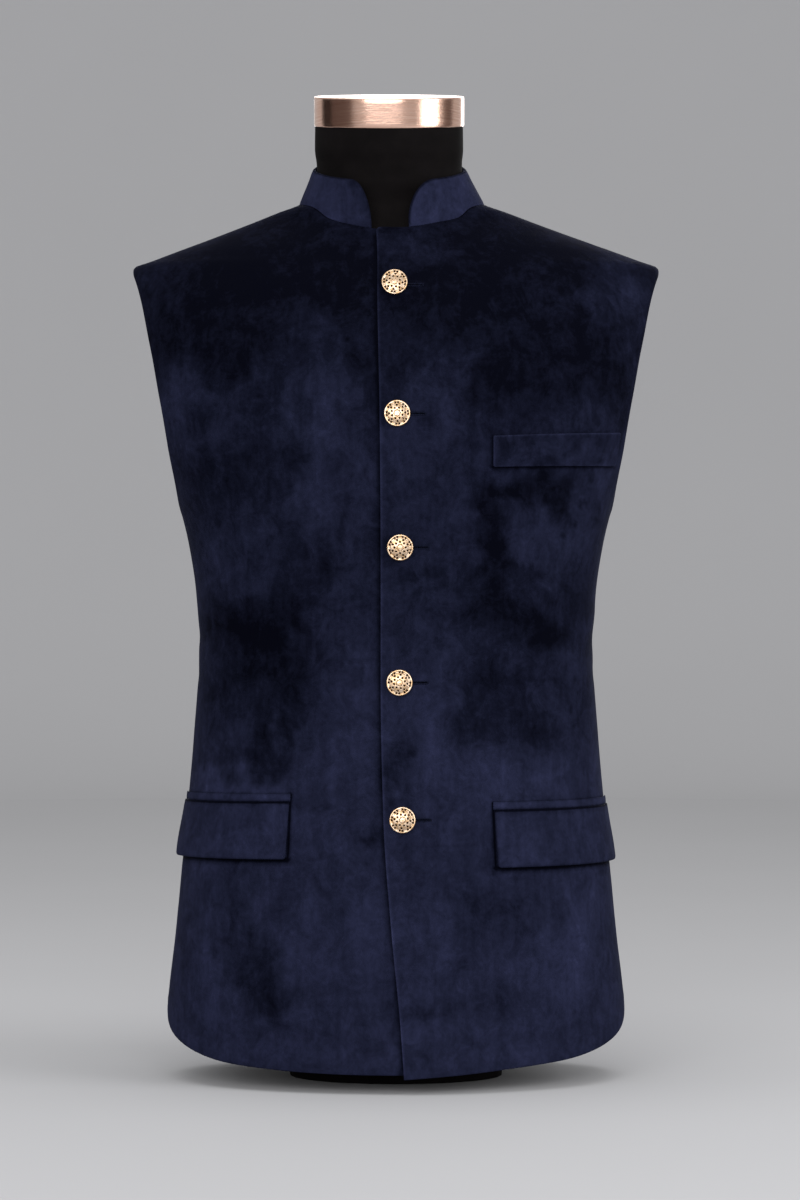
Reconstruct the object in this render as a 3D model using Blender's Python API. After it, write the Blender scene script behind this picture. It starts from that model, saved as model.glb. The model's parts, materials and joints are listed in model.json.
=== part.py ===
"""Nehru jacket of navy velvet on a countertop dress form, at real size.

Units are metres, +Z is up and the front faces -Y. The origin is the middle of the
form's flat foot. Left and right are the wearer's, so the left front is at +X, and it
laps over the right front.

The cloth hangs in one shape, BODY, which is given by level sections. A panel is cut as
a tailor's pattern is, in the plane of girth (the way round from the centre line) and
height. It is then laid on BODY and given its thickness outwards.
"""

import math
from collections import namedtuple

import bmesh
import bpy
import numpy as np
from mathutils import Matrix, Vector
from mathutils.geometry import delaunay_2d_cdt

# The inside of the worn cloth, and above the neckline the neck of the form.
# half_width is at the side line, which lies at the depth called centre. front and back
# are the depths in Y of the centre front and the centre back. The two curve columns are
# the powers of the section's rounding: 2 is an ellipse, more is squarer.
Section = namedtuple("Section", "height half_width front back centre front_curve side_curve")
SECTIONS = (
    Section(0.000, 0.1885, -0.1235, 0.1180, 0.000, 1.95, 1.90),  # floor
    Section(0.055, 0.1873, -0.1230, 0.1175, 0.000, 1.98, 1.95),  # hem
    Section(0.120, 0.1806, -0.1210, 0.1170, 0.000, 2.05, 2.00),
    Section(0.200, 0.1730, -0.1160, 0.1130, 0.000, 2.15, 2.10),  # hip flaps
    Section(0.280, 0.1657, -0.1100, 0.1040, 0.000, 2.25, 2.20),
    Section(0.357, 0.1611, -0.1070, 0.0950, 0.001, 2.35, 2.30),  # waist
    Section(0.400, 0.1637, -0.1090, 0.0940, 0.003, 2.40, 2.35),
    Section(0.440, 0.1697, -0.1135, 0.0975, 0.004, 2.40, 2.40),
    Section(0.477, 0.1789, -0.1180, 0.1030, 0.005, 2.40, 2.50),  # underarm
    Section(0.520, 0.1925, -0.1210, 0.1090, 0.006, 2.40, 2.70),  # chest
    Section(0.560, 0.2017, -0.1185, 0.1130, 0.007, 2.40, 2.80),
    Section(0.600, 0.2095, -0.1090, 0.1140, 0.008, 2.35, 2.80),
    Section(0.640, 0.2170, -0.0920, 0.1100, 0.009, 2.25, 2.50),
    Section(0.660, 0.2195, -0.0800, 0.1045, 0.010, 2.10, 2.20),
    Section(0.668, 0.2165, -0.0745, 0.1010, 0.010, 2.00, 2.10),  # shoulder tip
    Section(0.673, 0.2040, -0.0710, 0.0985, 0.010, 1.95, 2.00),
    Section(0.680, 0.1857, -0.0665, 0.0950, 0.010, 1.90, 1.90),
    Section(0.690, 0.1592, -0.0595, 0.0890, 0.010, 1.80, 1.70),
    Section(0.698, 0.1380, -0.0540, 0.0840, 0.010, 1.70, 1.60),  # neckline at the front
    Section(0.706, 0.1168, -0.0475, 0.0790, 0.010, 1.70, 1.60),
    Section(0.714, 0.0956, -0.0460, 0.0745, 0.010, 1.80, 1.70),
    Section(0.721, 0.0770, -0.0455, 0.0710, 0.010, 1.95, 1.90),  # neckline at the side
    Section(0.730, 0.0708, -0.0462, 0.0680, 0.010, 2.00, 2.00),
    Section(0.738, 0.0666, -0.0470, 0.0658, 0.009, 2.00, 2.00),  # neckline at the back
    Section(0.751, 0.0621, -0.0500, 0.0622, 0.006, 2.00, 2.00),
    Section(0.787, 0.0628, -0.0580, 0.0595, 0.001, 2.00, 2.00),  # top of the neck
    Section(0.812, 0.0628, -0.0590, 0.0590, -0.001, 2.00, 2.00),
)
FRONT, BACK = -1, 1

# Cloth
WALL = 0.0020
SEAM_GAP = 0.0003
LAYER_GAP = 0.0006
NET = 0.025
EDGE_STEP = 0.016
SHOULDER_ROWS = (
    *(0.634, 0.642, 0.649, 0.656, 0.662, 0.668, 0.673, 0.679, 0.686, 0.693, 0.700, 0.707),
    *(0.714, 0.7205, 0.727, 0.732, 0.736),
)
SHOULDER_CLEAR = 0.0045
RIDGE_ROWS = (0.004, 0.010, 0.018)
SLIVER = 1e-9

# Front closure, as the girth of the left front's edge at each height
FrontEdge = namedtuple("FrontEdge", "height girth")
FRONT_EDGE = (
    FrontEdge(0.000, 0.0072),
    FrontEdge(0.060, 0.0030),
    FrontEdge(0.130, -0.0037),
    FrontEdge(0.219, -0.0100),
    FrontEdge(0.327, -0.0122),
    FrontEdge(0.434, -0.0122),
    FrontEdge(0.542, -0.0130),
    FrontEdge(0.649, -0.0150),
    FrontEdge(0.720, -0.0144),
)
UNDERLAP = 0.030
LAP_LEVEL_WIDTH = 0.042
LAP_END_WIDTH = 0.088
LAP_CORNER = 0.0035

# Hem, as its height at the centre, its rise to the side and the power of that rise
Hem = namedtuple("Hem", "height rise power")
HEM_LEFT = Hem(0.0118, 0.0200, 1.10)
HEM_RIGHT = Hem(0.0155, 0.0165, 2.20)
HEM_BACK = Hem(0.0180, 0.0130, 2.00)
VENT_TOP = 0.130
VENT_SPREAD = 0.0035
VENT_CORNER_WIDTH = 0.110
VENT_CORNER_HEIGHT = 0.040

# Neckline, as an oval seen from above, and the collar that stands on it
NECK_HALF_WIDTH = 0.0770
NECK_FRONT = -0.0560
NECK_BACK = 0.0665
NECK_CENTRE = 0.0100
NECK_LEAN = 0.0058
NECK_LEAN_FROM = 0.660
NECK_LEAN_OVER = 0.110
COLLAR_WALL = 0.0022
COLLAR_TOP_HALF_WIDTH = 0.0632
COLLAR_TOP_FRONT = -0.0575
COLLAR_TOP_BACK = 0.0640
COLLAR_TOP_CENTRE = 0.0055
COLLAR_SIDE_HEIGHT = 0.7520
COLLAR_SLOPE = 0.0165
COLLAR_DEPTH = 0.0360
COLLAR_LEFT_END = math.radians(9.0)
COLLAR_RIGHT_END = math.radians(-14.0)
COLLAR_LEFT_CORNER = math.radians(26.0)
COLLAR_RIGHT_CORNER = math.radians(17.0)
COLLAR_NET = 0.011

# Armhole, as an oval seen from the side
ARMHOLE_TOP = 0.668
ARMHOLE_WIDEST = 0.556
ARMHOLE_BOTTOM = 0.472
ARMHOLE_FORWARD = 0.0580
ARMHOLE_BACKWARD = 0.0580

# Chest welt, on the left front
WELT_INNER_X = 0.0770
WELT_WIDTH = 0.1180
WELT_BOTTOM = 0.5005
WELT_DEPTH = 0.0245
WELT_SLOPE = 0.048
WELT_WALL = 0.0020
WELT_GAP = 0.0007
WELT_GAPE = 0.0012

# Hip pockets, each a flap below a narrow jet
HipPocket = namedtuple("HipPocket", "side sign inner_x width top drop")
HIP_POCKETS = (
    HipPocket("left", 1, 0.0780, 0.1440, 0.2256, 0.0000),
    HipPocket("right", -1, 0.0845, 0.1380, 0.2322, 0.0031),
)
FLAP_DEPTH = 0.0460
FLAP_SLANT = 0.0020
FLAP_CORNER = 0.0060
FLAP_WALL = 0.0024
FLAP_FLARE = 0.0032
JET_DEPTH = 0.0062
JET_WALL = 0.0014
JET_OVERRUN = 0.001
POCKET_NET = 0.013

# Buttons and buttonholes
Button = namedtuple("Button", "height from_edge")
BUTTONS = (
    Button(0.6452, 0.0140),
    Button(0.5421, 0.0138),
    Button(0.4366, 0.0155),
    Button(0.3277, 0.0150),
    Button(0.2182, 0.0151),
)
BUTTON_RADIUS = 0.0106
ButtonLevel = namedtuple("ButtonLevel", "radius height")
BUTTON_PROFILE = (
    ButtonLevel(0.0013, -0.00040),  # where the shank meets the back
    ButtonLevel(0.0060, 0.00000),
    ButtonLevel(0.0101, 0.00080),
    ButtonLevel(0.0106, 0.00200),
    ButtonLevel(0.0092, 0.00280),
    ButtonLevel(0.0083, 0.00240),
    ButtonLevel(0.0043, 0.00365),
    ButtonLevel(0.0015, 0.00396),
)
BUTTON_LEAN_SHARE = 0.42
BUTTON_CLEAR = 0.0004
SHANK_RADIUS = 0.0013
SHANK_CLEAR = 0.0003
BUTTON_STEPS = 18
EYELET_RADIUS = 0.0019
BUTTONHOLE_LENGTH = 0.0220
BUTTONHOLE_HALF_SLIT = 0.0005

# Dress form
FORM_SIDES = 48
FORM_SHOULDER_EASE = 0.0005
FORM_YOKE_EASE = 0.0044
FORM_NECK_EASE = 0.0022
FORM_ARM_EASE = 0.0075
FORM_CHEST_EASE = 0.0030
FORM_WAIST_EASE = 0.0060
FORM_HIP_EASE = 0.0080
FOOT_HALF_WIDTH = 0.0880
FOOT_HALF_DEPTH = 0.0600
FOOT_HEIGHT = 0.034
FORM_TURN = 0.050
NECK_TOP = 0.7870
NECK_TILT = math.radians(9.5)
CAP_HEIGHT = 0.0245
CAP_HALF_WIDTH = 0.0622
CAP_HALF_DEPTH = 0.0586
CAP_BEVEL = 0.0012

VELVET = ("navy_velvet", (0.0105, 0.0125, 0.0330), 0.85, 0.0)
BRASS = ("button_brass", (0.80, 0.50, 0.24), 0.30, 1.0)
JERSEY = ("form_jersey", (0.0080, 0.0080, 0.0085), 0.80, 0.0)
ROSE_GOLD = ("rose_gold", (0.78, 0.46, 0.34), 0.22, 1.0)


def monotone_slopes(x, y):
    """Slopes of a cubic through the points that never swings past them."""
    step = np.diff(x)
    rise = np.diff(y) / step
    slopes = np.zeros(len(x))
    slopes[0], slopes[-1] = rise[0], rise[-1]
    for i in range(1, len(x) - 1):
        if rise[i - 1] * rise[i] > 0:
            before = 2 * step[i] + step[i - 1]
            after = step[i] + 2 * step[i - 1]
            slopes[i] = (before + after) / (before / rise[i - 1] + after / rise[i])
    return slopes


def cubic(x, y, slopes, at):
    """The curve with those slopes, read at one or more places."""
    at = np.clip(at, x[0], x[-1])
    i = np.clip(np.searchsorted(x, at) - 1, 0, len(x) - 2)
    step = x[i + 1] - x[i]
    t = (at - x[i]) / step
    near = (1 + 2 * t) * (1 - t) ** 2 * y[i] + t * (1 - t) ** 2 * step * slopes[i]
    far = t * t * (3 - 2 * t) * y[i + 1] + t * t * (t - 1) * step * slopes[i + 1]
    return near + far


def smooth(t):
    """0 below 0, 1 above 1 and an even ease between."""
    t = np.clip(t, 0.0, 1.0)
    return t * t * (3 - 2 * t)


def neck_lean(height):
    """How far the neck leans towards the wearer's right at a height."""
    return NECK_LEAN * smooth((height - NECK_LEAN_FROM) / NECK_LEAN_OVER)


class Body:
    """The shape that the cloth hangs in."""

    ANGLES = np.linspace(0.0, math.pi, 361)
    SIDE = 180
    STEP = 0.0004

    def __init__(self, sections):
        table = np.array(sections)
        self.heights = table[:, 0]
        self.columns = {
            name: (table[:, i], monotone_slopes(self.heights, table[:, i]))
            for i, name in enumerate(Section._fields)
        }

    def value(self, name, height):
        """A column of the sections, at any height."""
        values, slopes = self.columns[name]
        return cubic(self.heights, values, slopes, height)

    def plan(self, angle, height, start):
        """The level section at an angle: 0 on the starting half's centre line, pi/2 at the side."""
        centre = self.value("centre", height)
        front = centre - self.value("front", height)
        back = self.value("back", height) - centre
        near = np.where(start == FRONT, front, back)
        far = np.where(start == FRONT, back, front)
        sine = np.abs(np.sin(angle)) ** (2 / self.value("front_curve", height))
        cosine = np.cos(angle)
        depth = np.abs(cosine) ** (2 / self.value("side_curve", height))
        across = self.value("half_width", height) * sine
        return across, centre + start * np.where(cosine > 0, near * depth, -far * depth)

    def lengths(self, height, start):
        """The girth from the centre line to each of ANGLES, a row for each height."""
        height, start = np.atleast_1d(height)[:, None], np.atleast_1d(start)[:, None]
        x, y = self.plan(self.ANGLES, height, start)
        steps = np.hypot(np.diff(x, axis=1), np.diff(y, axis=1))
        return np.hstack([np.zeros((len(steps), 1)), np.cumsum(steps, axis=1)])

    def girth_at_angle(self, angle, height, start):
        """The girth of the points at those angles."""
        lengths = self.lengths(height, start)
        place = np.atleast_1d(angle) / self.ANGLES[1]
        low = np.clip(place.astype(int), 0, len(self.ANGLES) - 2)
        rows = np.arange(len(lengths))
        step = lengths[rows, low + 1] - lengths[rows, low]
        return lengths[rows, low] + (place - low) * step

    def side(self, height, start=FRONT):
        """The girth at which the side line lies."""
        return float(self.lengths(height, start)[0, self.SIDE])

    def girth_at_x(self, x, height, start=FRONT):
        """The girth of the point at that distance from the middle plane."""
        share = np.minimum(np.abs(x) / self.value("half_width", height), 1.0)
        angle = np.arcsin(share ** (self.value("front_curve", height) / 2))
        return np.sign(x) * self.girth_at_angle(angle, height, start)

    def girth_at_depth(self, forward, height, start):
        """The girth of the point that far in front of or behind the side line."""
        edge = self.value("front" if start == FRONT else "back", height)
        share = min(forward / abs(edge - self.value("centre", height)), 1.0)
        angle = math.acos(share ** (self.value("side_curve", height) / 2))
        return float(self.girth_at_angle(angle, height, start)[0])

    def height_over(self, x, y):
        """The heights at which the shoulder surface passes over places in the plan."""
        low, high = np.full(len(x), ARMHOLE_TOP), np.full(len(x), NECK_TOP)
        for _ in range(40):
            middle = (low + high) / 2
            centre = self.value("centre", middle)
            edge = np.where(y < centre, self.value("front", middle), self.value("back", middle))
            across = (np.abs(x) / self.value("half_width", middle)) ** self.value("front_curve", middle)
            along = ((y - centre) / (edge - centre)) ** self.value("side_curve", middle)
            inside_it = across + along < 1
            low, high = np.where(inside_it, middle, low), np.where(inside_it, high, middle)
        return (low + high) / 2

    def point(self, girth, height, start=FRONT):
        """Points on the body at those girths and heights."""
        girth, height, start = np.broadcast_arrays(np.atleast_1d(girth), height, start)
        lengths = self.lengths(height, start)
        reach = np.abs(girth)
        high = np.clip((lengths < reach[:, None]).sum(axis=1), 1, len(self.ANGLES) - 1)
        rows = np.arange(len(lengths))
        before, after = lengths[rows, high - 1], lengths[rows, high]
        angle = (high - 1 + (reach - before) / (after - before)) * self.ANGLES[1]
        x, y = self.plan(angle, height, start)
        return np.column_stack([np.sign(girth) * x - neck_lean(height), y, height])

    def normal(self, girth, height, start=FRONT):
        """The body's outward directions at those places."""
        step = self.STEP
        girth, height, start = np.broadcast_arrays(np.atleast_1d(girth), height, start)
        round_it = self.point(girth + step, height, start) - self.point(girth - step, height, start)
        up = self.point(girth, height + step, start) - self.point(girth, height - step, start)
        out = np.cross(round_it, up) * -start[:, None]
        return out / np.linalg.norm(out, axis=1)[:, None]


BODY = Body(SECTIONS)


def span(start, end, step):
    """Evenly spaced values from start to end, both included."""
    return np.linspace(start, end, max(2, math.ceil(abs(end - start) / step) + 1))


def front_edge(height):
    """The girth of the left front's edge."""
    table = np.array(FRONT_EDGE)
    return cubic(table[:, 0], table[:, 1], monotone_slopes(table[:, 0], table[:, 1]), height)


def neck_point(azimuth):
    """Girths, heights and halves of the neckline, at angles from the centre front to the left."""
    azimuth = np.atleast_1d(azimuth)
    start = np.where(np.cos(azimuth) > 0, FRONT, BACK)
    reach = np.where(start == FRONT, NECK_CENTRE - NECK_FRONT, NECK_BACK - NECK_CENTRE)
    x = NECK_HALF_WIDTH * np.sin(azimuth)
    y = NECK_CENTRE - reach * np.cos(azimuth)
    height = BODY.height_over(x, y)
    return BODY.girth_at_x(x, height, start), height, start


def neck_side():
    """The height at which the shoulder line meets the neckline."""
    return float(neck_point(math.pi / 2)[1][0])


def armhole(start, inset=0.0):
    """The armhole from the underarm up to the shoulder tip, on the left, or a line inside it."""
    reach = inset + (ARMHOLE_FORWARD if start == FRONT else ARMHOLE_BACKWARD)
    points = []
    for turn in span(-math.pi / 2, math.pi / 2, math.radians(8)):
        half = ARMHOLE_TOP - ARMHOLE_WIDEST if turn > 0 else ARMHOLE_WIDEST - ARMHOLE_BOTTOM
        height = ARMHOLE_WIDEST + half * math.sin(turn)
        points.append((BODY.girth_at_depth(reach * math.cos(turn), height, start), height))
    return points[1:-1]


def seam_heights():
    """The net's rows that meet the shoulder seam."""
    return [z for z in SHOULDER_ROWS if ARMHOLE_TOP <= z < neck_side() - 0.001]


def shoulder(start):
    """The shoulder seam from the tip up to the neck, on the left."""
    return [(BODY.side(z, start) - SEAM_GAP / 2, z) for z in seam_heights()]


def hem_height(hem, girth, start):
    """The height of the hem at a girth."""
    return hem.height + hem.rise * (abs(girth) / BODY.side(hem.height, start)) ** hem.power


def hem_line(hem, centre, start):
    """The hem from the centre to the rounded corner of the vent, then up the side seam."""
    side = BODY.side(hem.height, start) - VENT_SPREAD / 2
    corner = side - VENT_CORNER_WIDTH
    line = [(u, hem_height(hem, u, start)) for u in span(centre, corner, EDGE_STEP)]
    base = hem_height(hem, corner, start)
    for turn in span(0, math.pi / 2, math.radians(9))[1:]:
        drop = hem_height(hem, corner + VENT_CORNER_WIDTH * math.sin(turn), start) - base
        height = base + drop * math.cos(turn) + VENT_CORNER_HEIGHT * (1 - math.cos(turn))
        edge = BODY.side(height, start) - VENT_SPREAD / 2 - VENT_CORNER_WIDTH
        line.append((edge + VENT_CORNER_WIDTH * math.sin(turn), height))
    return line


def side_seam(bottom, start):
    """The side seam from the vent up to the underarm, open below the top of the vent."""
    line = []
    for height in span(bottom, ARMHOLE_BOTTOM, 0.016)[1:]:
        opening = VENT_SPREAD * smooth((VENT_TOP - height) / (VENT_TOP - bottom))
        line.append((BODY.side(height, start) - max(opening, SEAM_GAP) / 2, height))
    return line


def neckline(first, last, start):
    """The neckline between two azimuths, both on the same half of the body."""
    line = []
    azimuths = span(first, last, math.radians(6))
    for azimuth, u, z in zip(azimuths, *neck_point(azimuths)[:2]):
        if math.cos(azimuth) * start > -1e-9:
            u = math.copysign(BODY.side(z, start) - SEAM_GAP / 2, math.sin(azimuth))
        line.append((u, z))
    return line


def mirrored(line):
    """The same line on the other side, run the other way."""
    return [(-u, z) for u, z in reversed(line)]


def rounded(corners, radii, steps=4):
    """A polygon whose corners are cut to arcs of those radii."""
    points = []
    for i, radius in enumerate(radii):
        here = Vector(corners[i])
        back = (Vector(corners[i - 1]) - here).normalized()
        ahead = (Vector(corners[(i + 1) % len(corners)]) - here).normalized()
        half = back.angle(ahead) / 2
        centre = here + (back + ahead).normalized() * (radius / math.sin(half))
        first = here + back * (radius / math.tan(half)) - centre
        turn = math.pi - 2 * half
        for step in range(steps + 1 if radius else 1):
            swung = first.copy()
            swung.rotate(Matrix.Rotation(turn * step / steps, 2))
            points.append(tuple(centre + swung))
    return points


def divided(outline, step):
    """A closed outline with points added so that none are further apart than the step."""
    points = []
    for here, there in zip(outline, outline[1:] + outline[:1]):
        count = max(1, math.ceil(math.dist(here, there) / step))
        for i in range(count):
            t = i / count
            points.append((here[0] + (there[0] - here[0]) * t, here[1] + (there[1] - here[1]) * t))
    return points


def inside(points, outline):
    """Which points lie inside a closed outline."""
    found = np.zeros(len(points), bool)
    for (x0, y0), (x1, y1) in zip(outline, outline[1:] + outline[:1]):
        crosses = (y0 > points[:, 1]) != (y1 > points[:, 1])
        at = x0 + (points[:, 1] - y0) * (x1 - x0) / (y1 - y0 if y1 != y0 else 1.0)
        found ^= crosses & (points[:, 0] < at)
    return found


def away_from(points, outline, distance):
    """Which points lie at least that far from a closed outline."""
    kept = np.ones(len(points), bool)
    for here, there in zip(outline, outline[1:] + outline[:1]):
        start, along = np.array(here), np.subtract(there, here)
        t = np.clip((points - start) @ along / max(along @ along, 1e-18), 0, 1)
        kept &= np.linalg.norm(points - start - t[:, None] * along, axis=1) >= distance
    return kept


def ridge_points(start, side):
    """Points beside the shoulder seam and the armhole, where the cloth bends over the shoulder."""
    beside_seam = [
        (side * (BODY.side(z, start) - row), z) for z in seam_heights() for row in RIDGE_ROWS
    ]
    upper = [(side * u, z) for u, z in armhole(start, RIDGE_ROWS[1]) if z > ARMHOLE_WIDEST]
    return beside_seam + upper


def net(outline, holes, spacing, fixed=()):
    """A flat cloth cut to an outline, as points and counterclockwise triangles."""
    low, high = np.min(outline, axis=0), np.max(outline, axis=0)
    columns = np.arange(low[0] + spacing / 2, high[0], spacing)
    level = SHOULDER_ROWS[0]
    rows = np.arange(low[1] + spacing / 2, min(high[1], level - spacing / 3), spacing)
    rows = np.concatenate([rows, [z for z in SHOULDER_ROWS if z < high[1]]])
    grid = np.stack(np.meshgrid(columns, rows), axis=-1).reshape(-1, 2)
    clear = np.where(grid[:, 1] < level, spacing * 0.5, SHOULDER_CLEAR)
    grid = grid[inside(grid, outline) & away_from(grid, outline, clear)]
    if len(fixed):
        apart = np.linalg.norm(grid[:, None] - np.array(fixed)[None], axis=2).min(axis=1)
        grid = np.vstack([grid[apart > 0.006], fixed])
        grid = grid[inside(grid, outline) & away_from(grid, outline, RIDGE_ROWS[0] * 0.7)]
    for hole in holes:
        grid = grid[~inside(grid, hole) & away_from(grid, hole, spacing * 0.35)]
    points, edges = [], []
    for loop in (outline, *holes):
        first = len(points)
        points += loop
        edges += [(first + i, first + (i + 1) % len(loop)) for i in range(len(loop))]
    points += [tuple(p) for p in grid]
    flat, _, faces, *_ = delaunay_2d_cdt([Vector(p) for p in points], edges, [], 0, 1e-7)
    flat, faces = np.array([tuple(p) for p in flat]), np.array(faces)
    corners = flat[faces]
    area = np.cross(corners[:, 1] - corners[:, 0], corners[:, 2] - corners[:, 0])
    middles = corners.mean(axis=1)
    kept = inside(middles, outline) & (np.abs(area) > SLIVER)
    for hole in holes:
        kept &= ~inside(middles, hole)
    faces = np.where(area[:, None] > 0, faces, faces[:, ::-1])[kept]
    return flat, [tuple(face) for face in faces.tolist()]


def eased(points, faces):
    """The same triangles, with those of the shoulder turned so that it bends as little as it can."""
    shape = bmesh.new()
    corners = [shape.verts.new(p) for p in points]
    for face in faces:
        shape.faces.new([corners[i] for i in face])
    turning = [
        edge
        for edge in shape.edges
        if len(edge.link_faces) == 2 and min(v.co.z for v in edge.verts) > SHOULDER_ROWS[0] - 0.001
    ]
    bmesh.ops.beautify_fill(shape, faces=list(shape.faces), edges=turning, method="ANGLE")
    shape.verts.index_update()
    turned = [tuple(v.index for v in face.verts) for face in shape.faces]
    shape.free()
    return turned


def material(name, colour, roughness, metallic):
    """A plain Principled material, made once."""
    made = bpy.data.materials.get(name)
    if made is None:
        made = bpy.data.materials.new(name)
        made.use_nodes = True
        shader = made.node_tree.nodes["Principled BSDF"]
        shader.inputs["Base Color"].default_value = (*colour, 1.0)
        shader.inputs["Roughness"].default_value = roughness
        shader.inputs["Metallic"].default_value = metallic
    return made


def add_object(name, mesh, finish, collection):
    """A named object of that mesh, with its finish."""
    mesh.materials.append(material(*finish))
    made = bpy.data.objects.new(name, mesh)
    collection.objects.link(made)
    return made


def wall(name, inner, outer, faces, finish, collection):
    """A closed wall between two layers of points that share their faces."""
    count = len(inner)
    sides = {(a, b) for face in faces for a, b in zip(face, face[1:] + face[:1])}
    rim = [(b + count, a + count, a, b) for a, b in sides if (b, a) not in sides]
    skin = [tuple(i + count for i in face) for face in faces]
    lining = [tuple(reversed(face)) for face in faces]
    mesh = bpy.data.meshes.new(name)
    mesh.from_pydata(np.vstack([inner, outer]).tolist(), [], skin + lining + sorted(rim))
    mesh.shade_smooth()
    mesh.set_sharp_from_angle(angle=math.radians(40))
    return add_object(name, mesh, finish, collection)


def cloth(
    name, outline, collection, start=FRONT, lift=0.0, thickness=WALL, spacing=NET, holes=(), fixed=()
):
    """A panel laid on the body, lift above it, from its outline in girth and height."""
    flat, faces = net(outline, holes, spacing, fixed)
    girth, height = flat[:, 0], flat[:, 1]
    raised = lift(girth, height) if callable(lift) else np.full(len(flat), lift)
    on_body, out = BODY.point(girth, height, start), BODY.normal(girth, height, start)
    if start == BACK:
        faces = [tuple(reversed(face)) for face in faces]
    inner = on_body + out * raised[:, None]
    outer = inner + out * thickness
    return wall(name, inner, outer, eased(outer, faces), VELVET, collection)


def lap_lift(girth, height):
    """How far the left front is raised where it laps over the right front."""
    past = girth - front_edge(height) - LAP_LEVEL_WIDTH
    return (WALL + LAYER_GAP) * smooth(1 - past / (LAP_END_WIDTH - LAP_LEVEL_WIDTH))


def button_places():
    """The girth and height of each button's centre."""
    for row in BUTTONS:
        yield float(front_edge(row.height)) + row.from_edge, row.height


def buttonhole(girth, height):
    """A keyhole outline: a round eye at the button's shank and a narrow slit away from the edge."""
    mouth = math.asin(BUTTONHOLE_HALF_SLIT / EYELET_RADIUS)
    eye = [
        (girth + EYELET_RADIUS * math.cos(turn), height + EYELET_RADIUS * math.sin(turn))
        for turn in np.linspace(mouth, 2 * math.pi - mouth, 13)
    ]
    end = girth + BUTTONHOLE_LENGTH
    half = BUTTONHOLE_HALF_SLIT
    lower = [(u, height - half) for u in np.linspace(eye[-1][0], end, 4)[1:]]
    upper = [(u, height + half) for u in np.linspace(end, eye[0][0], 4)[:-1]]
    return eye + lower + upper


def welt_outline():
    """The chest welt, whose top edge rises a little towards the armhole."""
    inner = float(BODY.girth_at_x(WELT_INNER_X, WELT_BOTTOM)[0])
    outer = inner + WELT_WIDTH
    rise = WELT_SLOPE * WELT_WIDTH
    corners = [
        (inner, WELT_BOTTOM),
        (outer, WELT_BOTTOM + rise * 0.6),
        (outer, WELT_BOTTOM + rise + WELT_DEPTH),
        (inner, WELT_BOTTOM + WELT_DEPTH),
    ]
    return divided(rounded(corners, (0.0015, 0.0015, 0.0010, 0.0010), 2), POCKET_NET)


def pocket_outline(pocket, corners):
    """A hip pocket's piece, from corners given as shares of its width and heights over its top."""
    inner = float(BODY.girth_at_x(pocket.inner_x, pocket.top)[0])
    outline = [
        (inner + pocket.width * across, pocket.top - pocket.drop * across + up)
        for across, up in corners
    ]
    return outline


def flap_outline(pocket):
    """A hip flap, rounded at its outer lower corner."""
    slant = FLAP_SLANT / pocket.width
    corners = [(slant, -FLAP_DEPTH), (1, -FLAP_DEPTH), (1, 0), (0, 0)]
    outline = rounded(pocket_outline(pocket, corners), (0.0025, FLAP_CORNER, 0.0, 0.0))
    outline = divided(outline, POCKET_NET)
    return outline if pocket.sign > 0 else mirrored(outline)


def jet_outline(pocket):
    """The narrow jet above a hip flap."""
    start = -JET_OVERRUN / pocket.width
    low, high = LAYER_GAP, LAYER_GAP + JET_DEPTH
    corners = [(start, low), (1, low), (1, high), (start, high)]
    outline = divided(pocket_outline(pocket, corners), POCKET_NET)
    return outline if pocket.sign > 0 else mirrored(outline)


def pocket_points(pocket):
    """The places on a front that lie under the corners and edges of a hip pocket."""
    flap = flap_outline(pocket)
    upper = [place for place in jet_outline(pocket) if away_from(np.array([place]), flap, 0.002)[0]]
    return flap + upper


def left_front(collection):
    """The front that laps over, with its buttonholes."""
    hem = hem_line(HEM_LEFT, float(front_edge(HEM_LEFT.height)), FRONT)
    seam = side_seam(hem[-1][1], FRONT)
    neck = neckline(math.pi / 2, math.radians(-6), FRONT)
    neck = [(u, z) for u, z in neck if u > front_edge(z) + LAP_CORNER * 1.3]
    top_girth = float(front_edge(neck[-1][1])) + LAP_CORNER
    top = neck[-1][1]
    corner = [
        (top_girth - LAP_CORNER * math.sin(turn), top - LAP_CORNER * (1 - math.cos(turn)))
        for turn in span(0, math.pi / 2, math.radians(30))
    ]
    edge_heights = span(corner[-1][1], hem[0][1], EDGE_STEP)[1:-1]
    edge = [(float(front_edge(z)), z) for z in edge_heights]
    outline = hem + seam + armhole(FRONT) + shoulder(FRONT) + neck + corner + edge
    holes = [buttonhole(u, z) for u, z in button_places()]
    fixed = ridge_points(FRONT, 1) + welt_outline() + pocket_points(HIP_POCKETS[0])
    cloth("front_left", outline, collection, lift=lap_lift, holes=holes, fixed=fixed)


def right_front(collection):
    """The front that lies under, with its edge hidden by the lap."""
    hem_end = float(front_edge(HEM_RIGHT.height)) + UNDERLAP
    hem = mirrored(hem_line(HEM_RIGHT, -hem_end, FRONT))
    seam = side_seam(hem[0][1], FRONT)
    neck = neckline(math.radians(11), -math.pi / 2, FRONT)
    edge_heights = span(hem[-1][1], neck[0][1], EDGE_STEP)[1:-1]
    top_shift = neck[0][0] - float(front_edge(neck[0][1])) - UNDERLAP
    edge = [
        (float(front_edge(z)) + UNDERLAP + top_shift * smooth((z - 0.60) / 0.10), z)
        for z in edge_heights
    ]
    outline = hem + edge + neck + mirrored(armhole(FRONT) + shoulder(FRONT)) + mirrored(seam)
    fixed = ridge_points(FRONT, -1) + pocket_points(HIP_POCKETS[1])
    cloth("front_right", outline, collection, fixed=fixed)


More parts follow.
